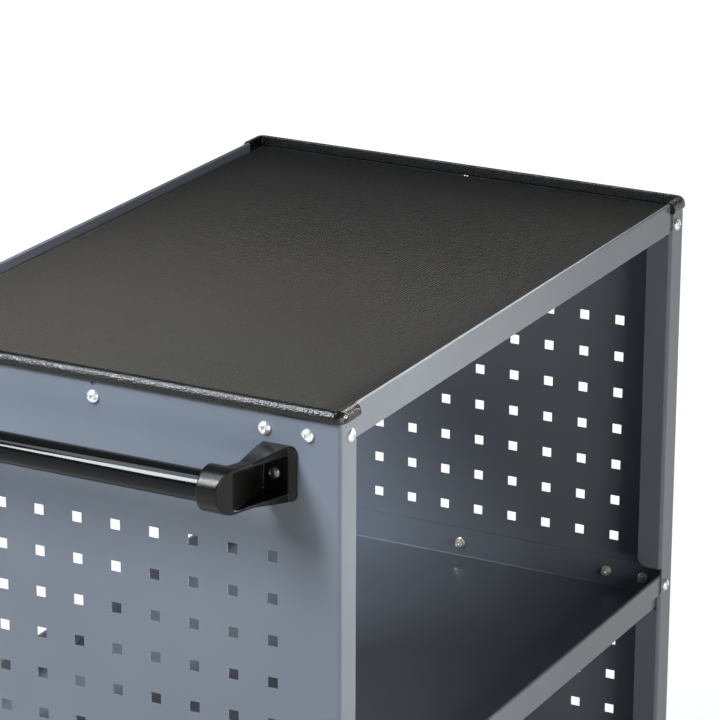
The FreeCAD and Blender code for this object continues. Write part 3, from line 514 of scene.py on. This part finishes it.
def gloss_black_paint(settings):
    """Deep gloss paint with a slight waviness."""
    material, tree, shader = start_finish("gloss_black_tube_paint")
    cloud = between(tree, grain(tree, 14.0), 0.0, 1.0)
    colour_surface(tree, shader.inputs["Base Color"], settings.tube, cloud, 0.9, 1.2)
    vary_roughness(tree, shader, 90.0, 0.05, 0.08)
    shader.inputs["Specular IOR Level"].default_value = 0.16
    relief(tree, shader, grain(tree, 120.0, detail=2.0), 0.00002, 0.2)
    return material


def grained_black_plastic(settings):
    """Injection-moulded black plastic with a fine spark-eroded grain."""
    material, tree, shader = start_finish("grained_black_plastic")
    cloud = between(tree, grain(tree, 45.0), 0.0, 1.0)
    colour_surface(tree, shader.inputs["Base Color"], settings.plastic, cloud, 0.8, 1.4)
    vary_roughness(tree, shader, 240.0, 0.16, 0.24)
    shader.inputs["Specular IOR Level"].default_value = 0.2
    relief(tree, shader, grain(tree, 1400.0, detail=2.0), 0.00014, 0.5)
    return material


def zinc_plate(name, base, metal=0.75):
    """Zinc plate with a faint clouded passivation."""
    material, tree, shader = start_finish(name)
    cloud = between(tree, grain(tree, 120.0), 0.0, 1.0)
    colour_surface(tree, shader.inputs["Base Color"], base, cloud, 0.9, 1.06)
    vary_roughness(tree, shader, 340.0, 0.28, 0.38)
    shader.inputs["Metallic"].default_value = metal
    relief(tree, shader, grain(tree, 700.0), 0.00003, 0.2)
    return material


def blackened_steel(settings):
    """Dark grey steel on the brackets' screws."""
    material, tree, shader = start_finish("blackened_steel")
    cloud = between(tree, grain(tree, 200.0), 0.0, 1.0)
    colour_surface(tree, shader.inputs["Base Color"], settings.black_steel, cloud, 0.8, 1.3)
    vary_roughness(tree, shader, 400.0, 0.28, 0.36)
    shader.inputs["Metallic"].default_value = 0.8
    relief(tree, shader, grain(tree, 1200.0), 0.00005, 0.35)
    return material


def tyre_rubber(settings):
    """Dark grey elastic rubber, matt and a little scuffed."""
    material, tree, shader = start_finish("grey_tyre_rubber")
    scuff = between(tree, grain(tree, 60.0, detail=6.0), 0.0, 1.0)
    colour_surface(tree, shader.inputs["Base Color"], settings.tyre, scuff, 0.8, 1.35)
    vary_roughness(tree, shader, 300.0, 0.55, 0.75)
    shader.inputs["Specular IOR Level"].default_value = 0.35
    relief(tree, shader, grain(tree, 1100.0), 0.00015, 0.5)
    return material


def wheel_core_plastic(settings):
    """Grey moulded plastic of the wheels' cores."""
    material, tree, shader = start_finish("grey_wheel_plastic")
    cloud = between(tree, grain(tree, 50.0), 0.0, 1.0)
    colour_surface(tree, shader.inputs["Base Color"], settings.wheel_core, cloud, 0.9, 1.12)
    vary_roughness(tree, shader, 240.0, 0.4, 0.52)
    relief(tree, shader, grain(tree, 1200.0), 0.0001, 0.4)
    return material


def studio_floor(settings):
    """A pale floor that keeps shadows and looks white to the camera and in reflections."""
    material = bpy.data.materials.new("pale_studio_floor")
    material.use_nodes = True
    tree = material.node_tree
    tree.nodes.clear()
    surface = tree.nodes.new("ShaderNodeBsdfDiffuse")
    glow = tree.nodes.new("ShaderNodeEmission")
    both = tree.nodes.new("ShaderNodeAddShader")
    result = tree.nodes.new("ShaderNodeOutputMaterial")
    cloud = between(tree, grain(tree, 1.2), 0.0, 1.0)
    colour_surface(tree, surface.inputs["Color"], settings.floor_colour, cloud, 0.995, 1.005)
    place = tree.nodes.new("ShaderNodeTexCoord")
    away = tree.nodes.new("ShaderNodeVectorMath")
    away.operation = "LENGTH"
    link(tree, place.outputs["Object"], away.inputs[0])
    white = between(tree, away.outputs["Value"], settings.floor_glow, 1.0, start=0.9, end=2.4)
    strength = calculate(tree, "MULTIPLY", seen_directly(tree), white)
    link(tree, strength, glow.inputs["Strength"])
    link(tree, surface.outputs["BSDF"], both.inputs[0])
    link(tree, glow.outputs["Emission"], both.inputs[1])
    link(tree, both.outputs["Shader"], result.inputs["Surface"])
    return material


def seen_directly(tree):
    """1 for what the camera, a reflection or clear material sees, and 0 for light."""
    path = tree.nodes.new("ShaderNodeLightPath")
    value = path.outputs["Is Camera Ray"]
    for ray in ("Is Glossy Ray", "Is Transmission Ray"):
        value = calculate(tree, "MAXIMUM", value, path.outputs[ray])
    return value


def light_the_world(settings):
    """Even surroundings, whose low part looks white to the camera and in reflections."""
    world = bpy.data.worlds.new("plain_studio_world")
    world.use_nodes = True
    bpy.context.scene.world = world
    tree = world.node_tree
    background = tree.nodes["Background"]
    background.inputs["Color"].default_value = (1.0, 1.0, 1.0, 1.0)
    height = height_in(tree, "Generated")
    backdrop = between(tree, height, settings.horizon, 0.0, start=0.1, end=0.22)
    seen = calculate(tree, "MULTIPLY", seen_directly(tree), backdrop)
    strength = calculate(tree, "MAXIMUM", seen, settings.ceiling)
    link(tree, strength, background.inputs["Strength"])


def soft_light(name, place, aim, sides, spread, watts, tint):
    """A soft light that looks at a point of the cart."""
    data = bpy.data.lights.new(name, "AREA")
    data.shape = "RECTANGLE"
    data.size, data.size_y = sides
    data.energy = watts
    data.spread = math.radians(spread)
    data.color = tint
    lamp = bpy.data.objects.new(name, data)
    lamp.location = place
    lamp.rotation_mode = "QUATERNION"
    lamp.rotation_quaternion = (Vector(aim) - Vector(place)).to_track_quat("-Z", "Y")
    lamp.visible_camera = False
    bpy.context.scene.collection.objects.link(lamp)


def stand_camera(settings):
    """The camera at the photograph's place and angle."""
    data = bpy.data.cameras.new("cart_camera")
    data.lens = settings.lens
    data.sensor_width = 36.0
    data.clip_end = 60.0
    camera = bpy.data.objects.new("cart_camera", data)
    turn = settings.turn
    steep = settings.height_angle
    back = Vector(
        (math.sin(turn) * math.cos(steep), -math.cos(turn) * math.cos(steep), math.sin(steep))
    )
    level = Vector((math.cos(turn), math.sin(turn), 0.0))
    rise = back.cross(level)
    right = level * math.cos(settings.roll) + rise * math.sin(settings.roll)
    up = rise * math.cos(settings.roll) - level * math.sin(settings.roll)
    camera.matrix_world = Matrix.Translation(settings.place) @ Matrix(
        (right, up, back)
    ).transposed().to_4x4()
    bpy.context.scene.collection.objects.link(camera)
    bpy.context.scene.camera = camera


class CART_OT_stage(Operator):
    """Set up the floor, the soft lights and the camera."""

    bl_idname = "service_cart.stage"
    bl_label = "Set Up Stage"

    def execute(self, context):
        settings = context.scene.service_cart
        stage = settings.stage
        view = context.scene.view_settings
        view.view_transform = "Standard"
        mesh = bmesh.new()
        bmesh.ops.create_grid(mesh, x_segments=8, y_segments=8, size=stage.floor_side / 2)
        floor = make_piece("studio_floor", mesh, studio_floor(stage))
        light_the_world(stage)
        warm, cool = stage.warm, stage.cool
        lamps = (
            ("key", (0.45, -1.4, 1.25), (-0.3, -0.24, 0.8), (0.4, 0.4), 32, warm),
            ("front", (-0.9, -2.2, 1.0), (-0.1, -0.2, 0.6), (1.0, 1.0), 160, warm),
            ("end", (-1.9, 1.05, 2.35), (-0.3, 0.0, 0.7), (0.35, 1.1), 160, cool),
            ("rib", (0.7, -0.3, 1.5), (-0.3, -0.2, 0.91), (0.5, 0.5), 60, warm),
            ("top", (-0.65, 0.2, 1.65), (-0.3, -0.1, 0.88), (0.5, 0.6), 160, cool),
        )
        for name, place, aim, sides, spread, tint in lamps:
            watts = getattr(stage, f"{name}_power")
            soft_light(f"{name}_softbox", place, aim, sides, spread, watts, tint)
        stand_camera(settings.camera)
        return {"FINISHED"}


def paint_nodes(nodes, finish):
    """Give CAD nodes whose shape is already right their finish."""
    for name in nodes:
        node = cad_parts[name]
        for entry in node.material_slots:
            entry.material = finish


class CART_OT_sheet_steel(Operator):
    """Give the perforated panels, the tray and the shelves their powder coat."""

    bl_idname = "service_cart.sheet_steel"
    bl_label = "Paint Sheet Steel"

    def execute(self, context):
        paint = blue_grey_powder_coat(context.scene.service_cart.finish)
        paint_nodes((*PANELS, *SHELVES, "top_tray"), paint)
        return {"FINISHED"}


def trim_section(width, height, settings):
    """The trim's outline across its run: (outward, up) points, with a round outer shoulder."""
    half = width / 2
    foot = settings.foot_round
    inner = settings.inner_round
    shoulder = width * 0.7
    corners = (
        (half - foot, foot, foot, foot, -90),
        (half - shoulder, height - settings.crown, shoulder, settings.crown, 0),
        (inner - half, height - inner, inner, inner, 90),
        (foot - half, foot, foot, foot, 180),
    )
    points = []
    for out, up, wide, high, start in corners:
        for step in range(9):
            turn = math.radians(start + step * 90 / 8)
            points.append((out + wide * math.cos(turn), up + high * math.sin(turn)))
    return points


def trim_path(low, high, outward, width, settings):
    """The trim's middle line from one cut end to the other: (point, outward direction)."""
    face = low.x if outward < 0 else high.x
    cut_end = high.x if outward < 0 else low.x
    inset = width / 2
    bend = settings.corner - inset
    line = []
    for side in (-1, 1):
        edge = low.y + inset if side < 0 else high.y - inset
        centre = Vector((face - outward * settings.corner, edge - side * bend, 0.0))
        run = []
        for part in (0.0, 0.004, 0.25, 0.5, 0.75):
            along = cut_end + (centre.x - cut_end) * part
            run.append((Vector((along, edge, 0.0)), Vector((0.0, side, 0.0))))
        for step in range(9):
            turn = math.pi / 2 * step / 8
            away = Vector((outward * math.sin(turn), side * math.cos(turn), 0.0))
            run.append((centre + away * bend, away))
        line += run if side < 0 else run[::-1]
    return line


class CART_OT_edge_trims(Operator):
    """Build the two rounded edge trims round the tops of the panels."""

    bl_idname = "service_cart.edge_trims"
    bl_label = "Build Edge Trims"

    def execute(self, context):
        settings = context.scene.service_cart
        finish = leather_grained_trim(settings.finish)
        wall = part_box(PANELS[0])[0].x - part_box("handle_end_edge_trim")[0].x
        width = wall * 2 + settings.screws.panel_steel
        for outward, node in ((-1, "handle_end_edge_trim"), (1, "far_end_edge_trim")):
            low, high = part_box(node)
            section = trim_section(width, high.z - low.z, settings.trim)
            line = trim_path(low, high, outward, width, settings.trim)
            middle_height = (high.z - low.z) / 2
            rings = []
            last = len(line) - 1
            for number, (point, away) in enumerate(line):
                inset = settings.trim.end_round if number in (0, last) else 0.0
                scale = 1 - inset / width * 2
                ring = []
                for out, up in section:
                    rise = middle_height + (up - middle_height) * scale
                    ring.append(point + away * out * scale + Vector((0, 0, low.z + rise)))
                rings.append(ring)
            mesh = bmesh.new()
            closed_form(mesh, rings)
            piece = make_piece(node.replace("edge_trim", "grained_trim"), mesh, finish, 50.0)
            attach(piece, "cart", "edge_trim", node)
        return {"FINISHED"}


class CART_OT_tray_mat(Operator):
    """Build the ribbed rubber mat in the tray."""

    bl_idname = "service_cart.tray_mat"
    bl_label = "Build Tray Mat"

    def execute(self, context):
        settings = context.scene.service_cart
        low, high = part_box("tray_mat")
        ribs = round((high.y - low.y) / settings.mat.rib_pitch)
        pitch = (high.y - low.y) / ribs
        groove = high.z - settings.mat.rib_height
        outline = []
        for rib in range(ribs):
            start = low.y + rib * pitch
            for part, rise in RIB_OUTLINE:
                outline.append((start + part * pitch, groove + rise * settings.mat.rib_height))
        outline.append((high.y, groove))
        mesh = bmesh.new()
        rows = []
        for along in (low.x, high.x):
            tops = [mesh.verts.new((along, across, up)) for across, up in outline]
            feet = [mesh.verts.new((along, across, low.z)) for across, _ in outline]
            rows.append((tops, feet))
        (tops, feet), (far_tops, far_feet) = rows
        for step in range(len(outline) - 1):
            mesh.faces.new((tops[step], tops[step + 1], far_tops[step + 1], far_tops[step]))
            mesh.faces.new((feet[step + 1], feet[step], far_feet[step], far_feet[step + 1]))
            mesh.faces.new((tops[step + 1], tops[step], feet[step], feet[step + 1]))
            mesh.faces.new((far_tops[step], far_tops[step + 1], far_feet[step + 1], far_feet[step]))
        for edge in (0, -1):
            mesh.faces.new((tops[edge], far_tops[edge], far_feet[edge], feet[edge]))
        mat = make_piece("ribbed_tray_mat", mesh, ribbed_rubber(settings.finish), 30.0)
        attach(mat, "cart", "ribbed_rubber", "tray_mat")
        return {"FINISHED"}


class CART_OT_handle(Operator):
    """Build the gloss tube and the two moulded brackets."""

    bl_idname = "service_cart.handle"
    bl_label = "Build Handle"

    def execute(self, context):
        settings = context.scene.service_cart
        low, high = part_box("handle_tube")
        radius = (high.z - low.z) / 2
        axis = Vector(((low.x + high.x) / 2, 0.0, (low.z + high.z) / 2))
        place = Matrix.Translation(axis) @ Matrix.Rotation(-math.pi / 2, 4, "X")
        mesh = bmesh.new()
        rings = [circle(radius, along, TUBE_ROUND) for along in (low.y, high.y)]
        closed_form(mesh, rings, place)
        tube = make_piece("handle_grip_tube", mesh, gloss_black_paint(settings.finish))
        attach(tube, "cart", "gloss_black_paint", "handle_tube")
        finish = grained_black_plastic(settings.finish)
        for side in SIDES:
            node = f"{side}_handle_bracket"
            bracket = moulded_form(node, f"{side}_moulded_bracket", settings.handle, finish)
            attach(bracket, "cart", "black_plastic", node)
        return {"FINISHED"}


def button_head(mesh, place, settings):
    """A domed head with a hexagon socket."""
    radius = settings.head / 2
    top = settings.head_height
    rings = [circle(radius, 0.0), circle(radius, top * 0.12)]
    for degrees in (75, 60, 48, 38):
        turn = math.radians(degrees)
        rings.append(circle(radius * math.sin(turn), top * (0.12 + 0.88 * math.cos(turn) ** 0.8)))
    socket = settings.socket
    rings.append(circle(socket * 0.62, top * 0.97))
    rings.append(hexagon(socket, top * 0.84))
    rings.append(hexagon(socket, top - settings.socket_depth))
    rings.append(middle(top - settings.socket_depth))
    closed_form(mesh, rings, place)


def flange_nut(mesh, place, settings):
    """A flange nut with the end of its screw."""
    foot = settings.nut_flange / 2
    height = settings.nut_height
    thread = settings.thread / 2
    end = height + settings.thread_end
    rings = [
        circle(foot, 0.0),
        circle(foot, height * 0.16),
        circle(foot * 0.86, height * 0.28),
        hexagon(settings.nut, height * 0.34),
        hexagon(settings.nut, height * 0.9),
        hexagon(settings.nut * 0.93, height),
        circle(thread * 1.1, height),
        circle(thread, height * 0.94),
        circle(thread, end - thread * 0.25),
        circle(thread * 0.75, end),
        middle(end),
    ]
    closed_form(mesh, rings, place)


def screw_heights():
    """Shelf floors, and the tray's floor last."""
    steel = bpy.context.scene.service_cart.screws.shelf_steel
    floors = [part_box(name)[0].z + steel for name in SHELVES]
    return floors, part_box("tray_mat")[0].z


def end_screw_points(settings):
    """Places of the end screws on a panel: (across, up)."""
    floors, tray = screw_heights()
    levels = [floor + settings.rise for floor in floors] + [tray - settings.tray_drop]
    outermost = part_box(PANELS[0])[1].y - settings.edge
    across = (0.0, outermost, outermost - settings.pair)
    row = sorted({side * place for place in across for side in (-1, 1)})
    return [(place, level) for level in levels for place in row]


def side_screw_points(settings):
    """Places of the side screws: (along, up, is on the tray)."""
    floors, tray = screw_heights()
    levels = [(floor + settings.side_rise, False) for floor in floors]
    levels.append((tray - settings.tray_drop, True))
    near_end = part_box(PANELS[0])[0].x + settings.side_inset
    far_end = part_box(PANELS[1])[1].x - settings.side_inset
    return [(along, up, on_tray) for up, on_tray in levels for along in (near_end, far_end)]


class CART_OT_screws(Operator):
    """Build the button screws and the nuts behind them."""

    bl_idname = "service_cart.screws"
    bl_label = "Build Screws"

    def execute(self, context):
        cart = context.scene.service_cart
        settings = cart.screws
        zinc = zinc_plate("bright_zinc_plate", cart.finish.zinc)
        yellow = zinc_plate("yellow_zinc_plate", cart.finish.yellow_zinc, 0.55)
        behind = settings.panel_steel + settings.shelf_steel
        for outward, panel in zip((-1, 1), PANELS):
            node = panel.replace("panel", "screws")
            low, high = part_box(panel)
            face = low.x if outward < 0 else high.x
            heads = bmesh.new()
            nuts = bmesh.new()
            for across, up in end_screw_points(settings):
                button_head(heads, facing((face, across, up), (outward, 0, 0)), settings)
                inner = face - outward * behind
                flange_nut(nuts, facing((inner, across, up), (-outward, 0, 0)), settings)
            piece = make_piece(node.replace("screws", "button_screws"), heads, zinc)
            attach(piece, "cart", "zinc", node)
            piece = make_piece(node.replace("screws", "nuts"), nuts, yellow)
            attach(piece, "cart", "zinc")
        heads = bmesh.new()
        nuts = bmesh.new()
        low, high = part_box(PANELS[0])
        for along, up, on_tray in side_screw_points(settings):
            for face, outward in ((low.y, -1), (high.y, 1)):
                button_head(heads, facing((along, face, up), (0, outward, 0)), settings)
                depth = behind if on_tray else behind + settings.shelf_steel + settings.hem_gap
                inner = face - outward * depth
                flange_nut(nuts, facing((along, inner, up), (0, -outward, 0)), settings)
        attach(make_piece("side_button_screws", heads, zinc), "cart", "zinc", "side_screws")
        attach(make_piece("side_nuts", nuts, yellow), "cart", "zinc")
        heads = bmesh.new()
        low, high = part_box("handle_bracket_screws")
        for across in (low.y + settings.head / 2, high.y - settings.head / 2):
            point = (high.x, across, (low.z + high.z) / 2)
            button_head(heads, facing(point, (-1, 0, 0)), settings)
        piece = make_piece("handle_bracket_button_screws", heads, blackened_steel(cart.finish))
        attach(piece, "cart", "black_steel", "handle_bracket_screws")
        return {"FINISHED"}


def tyre_outline(radius, half, settings):
    """The tyre's section from one bead over the tread to the other: (radius, across) points."""
    inner = radius - settings.tyre_depth
    rounding = settings.tread_round
    outline = [
        (inner, -half * 0.8),
        (inner + settings.bead, -half * 0.93),
        (radius - rounding, -half),
    ]
    for step in range(1, 7):
        turn = math.radians(90 * step / 6)
        out = radius - rounding + rounding * math.sin(turn)
        outline.append((out - settings.tread_crown, -half + rounding * (1 - math.cos(turn))))
    outline.append((radius, -half * 0.3))
    return outline + [(out, -across) for out, across in reversed(outline)]


def core_outline(radius, half, bore, settings):
    """The wheel core's section: hub, recessed web and the ring under the tyre."""
    hub = settings.hub / 2
    web = settings.web / 2
    ring = radius - settings.ring_wall
    draft = settings.draft
    side = [
        (bore, -half * 0.98),
        (hub * 0.9, -half * 0.98),
        (hub, -half * 0.9),
        (hub + draft, -web),
        (ring - draft, -web),
        (ring, -half * 0.76),
        (radius, -half * 0.8),
    ]
    return side + [(out, -across) for out, across in reversed(side)]


def axis_place(node):
    """A placement in the middle of a wheel, an axle or a pin, with Z along it."""
    low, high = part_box(node)
    centre = (low + high) / 2
    return Matrix.Translation(centre) @ Matrix.Rotation(math.pi / 2, 4, "X")


def round_size(node):
    """Radius and half length of a wheel, an axle or a pin."""
    low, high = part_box(node)
    return (high.z - low.z) / 2, (high.y - low.y) / 2


def turned_form(outline, place):
    """A ring-shaped form from the section that turns round its axis."""
    mesh = bmesh.new()
    rings = [circle(out, across, WHEEL_ROUND) for out, across in outline]
    loft(mesh, rings, place, closed=True)
    return mesh


def core_rib(mesh, place, turn, radius, half, settings):
    """A rib on both faces of the core, from the hub to the ring."""
    across = Vector((-math.sin(turn), math.cos(turn), 0.0)) * settings.rib_half
    along = Vector((math.cos(turn), math.sin(turn), 0.0))
    outer = radius - settings.rib_inset
    for face in (-1, 1):
        rings = []
        for distance, top in ((settings.hub / 2, half * 0.82), (outer, half * 0.66)):
            centre = along * distance
            foot = Vector((0, 0, face * settings.web / 2 * 0.9))
            crown = Vector((0, 0, face * top))
            rings.append(
                [
                    centre - across + foot,
                    centre + across + foot,
                    centre + across * 0.6 + crown,
                    centre - across * 0.6 + crown,
                ]
            )
        closed_form(mesh, rings, place)


class CART_OT_wheels(Operator):
    """Build the four wheels: a tyre on a ribbed core."""

    bl_idname = "service_cart.wheels"
    bl_label = "Build Wheels"

    def execute(self, context):
        cart = context.scene.service_cart
        settings = cart.castors
        rubber = tyre_rubber(cart.finish)
        plastic = wheel_core_plastic(cart.finish)
        for name in SWIVELS + FIXED:
            body = f"{name}_wheel"
            place = axis_place(body)
            radius, half = round_size(body)
            bore = round_size(f"{name}_axle")[0] + AXLE_GAP
            mesh = turned_form(tyre_outline(radius, half, settings), place)
            attach(make_piece(f"{name}_tyre", mesh, rubber, 35.0), body, "wheel_rubber", body)
            inner = radius - settings.tyre_depth
            mesh = turned_form(core_outline(inner, half, bore, settings), place)
            for rib in range(settings.ribs):
                turn = 2 * math.pi * rib / settings.ribs
                core_rib(mesh, place, turn, inner, half, settings)
            attach(make_piece(f"{name}_core", mesh, plastic, 35.0), body, "wheel_rubber")
        return {"FINISHED"}


def hex_bolt(mesh, place, flats, height, washer=1.35):
    """A hexagon head on its washer."""
    foot = flats * washer / 2
    rings = [
        circle(foot, 0.0),
        circle(foot, height * 0.2),
        circle(foot * 0.97, height * 0.24),
        hexagon(flats, height * 0.24),
        hexagon(flats, height * 1.1),
        hexagon(flats * 0.93, height * 1.24),
        middle(height * 1.24),
    ]
    closed_form(mesh, rings, place)


def plate_bolts(node, settings, floor):
    """A castor plate's four bolts with their nuts. The heads are on the shelf's floor."""
    low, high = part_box(node)
    centre = (low + high) / 2
    under = high.z - settings.plate_steel
    heads = bmesh.new()
    for along in (-0.5, 0.5):
        for across in (-0.5, 0.5):
            x = centre.x + along * settings.bolt_along
            y = centre.y + across * settings.bolt_across
            hex_bolt(heads, facing((x, y, floor), (0, 0, 1)), settings.bolt, settings.bolt_height)
            hex_bolt(heads, facing((x, y, under), (0, 0, -1)), settings.bolt, settings.bolt_height)
    return heads


def axle_bolt(node, settings):
    """An axle with its bolt's head at one end and the nut at the other."""
    low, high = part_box(node)
    centre = (low + high) / 2
    radius, half = round_size(node)
    mesh = bmesh.new()
    closed_form(mesh, [circle(radius, -half), circle(radius, half)], axis_place(node))
    for face, outward in ((low.y, -1), (high.y, 1)):
        place = facing((centre.x, face, centre.z), (0, outward, 0))
        hex_bolt(mesh, place, settings.bolt, settings.bolt_height * 0.8)
    return mesh


def pedal_pin(node, settings):
    """A brake pedal's pin with its bevelled ends beyond the fork."""
    radius, half = round_size(node)
    head = settings.pin_head
    rings = [
        circle(radius * 0.8, -half - head),
        circle(radius, -half - head / 2),
        circle(radius, half + head / 2),
        circle(radius * 0.8, half + head),
    ]
    mesh = bmesh.new()
    closed_form(mesh, rings, axis_place(node))
    return mesh


def carrier(name):
    """The body that a castor's fork and axle ride on."""
    return name if name in SWIVELS else "cart"


class CART_OT_castors(Operator):
    """Build the castors' plates, forks, axles, bolts and brake pedals."""

    bl_idname = "service_cart.castors"
    bl_label = "Build Castors"

    def execute(self, context):
        cart = context.scene.service_cart
        settings = cart.castors
        zinc = bpy.data.materials["bright_zinc_plate"]
        plastic = bpy.data.materials["grained_black_plastic"]
        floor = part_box("bottom_shelf")[0].z + cart.screws.shelf_steel
        for name in SWIVELS + FIXED:
            plate = f"{name}_plate" if name in SWIVELS else f"{name}_fork"
            if name in SWIVELS:
                top = rounded_form(plate, f"{name}_top_plate", settings.edge_round, zinc)
                attach(top, "cart", "zinc", plate)
            fork = rounded_form(f"{name}_fork", f"{name}_steel_fork", settings.edge_round, zinc)
            attach(fork, carrier(name), "zinc", f"{name}_fork")
            bolts = plate_bolts(plate, settings, floor)
            attach(make_piece(f"{name}_plate_bolts", bolts, zinc), "cart", "zinc")
        for name in SWIVELS + FIXED:
            node = f"{name}_axle"
            bolt = make_piece(f"{name}_axle_bolt", axle_bolt(node, settings), zinc)
            attach(bolt, carrier(name), "zinc", node)
        for side in SIDES:
            node = f"{side}_brake_pedal"
            pedal = rounded_form(node, f"{side}_brake_lever", settings.edge_round, plastic)
            attach(pedal, f"{side}_brake", "black_plastic", node)
            node = f"{side}_pedal_pin"
            pin = make_piece(f"{side}_lever_pin", pedal_pin(node, settings), zinc)
            attach(pin, f"{side}_swivel", "zinc", node)
        return {"FINISHED"}


class CART_PT_sidebar(Panel):
    """The service cart's building steps and settings."""

    bl_label = "Service Cart"
    bl_idname = "CART_PT_sidebar"
    bl_space_type = "VIEW_3D"
    bl_region_type = "UI"
    bl_category = "Service Cart"

    def draw(self, context):
        layout = self.layout
        settings = context.scene.service_cart
        for step in STEPS:
            layout.operator(step.bl_idname)
        for name in settings.bl_rna.properties.keys():
            group = getattr(settings, name)
            if not isinstance(group, PropertyGroup):
                continue
            box = layout.box()
            box.label(text=settings.bl_rna.properties[name].name)
            for entry in group.bl_rna.properties.keys():
                if entry not in ("rna_type", "name"):
                    box.prop(group, entry)


SETTINGS = (
    CameraSettings,
    StageSettings,
    FinishSettings,
    TrimSettings,
    MatSettings,
    HandleSettings,
    ScrewSettings,
    CastorSettings,
    ServiceCartSettings,
)
STEPS = (
    CART_OT_stage,
    CART_OT_sheet_steel,
    CART_OT_edge_trims,
    CART_OT_tray_mat,
    CART_OT_handle,
    CART_OT_screws,
    CART_OT_castors,
    CART_OT_wheels,
)


def register():
    for item in (*SETTINGS, *STEPS, CART_PT_sidebar):
        bpy.utils.register_class(item)
    bpy.types.Scene.service_cart = PointerProperty(type=ServiceCartSettings)


def unregister():
    del bpy.types.Scene.service_cart
    for item in reversed((*SETTINGS, *STEPS, CART_PT_sidebar)):
        bpy.utils.unregister_class(item)


def main():
    register()
    bpy.ops.service_cart.stage()
    bpy.ops.service_cart.sheet_steel()
    bpy.ops.service_cart.edge_trims()
    bpy.ops.service_cart.tray_mat()
    bpy.ops.service_cart.handle()
    bpy.ops.service_cart.screws()
    bpy.ops.service_cart.castors()
    bpy.ops.service_cart.wheels()


if __name__ == "__main__":
    main()
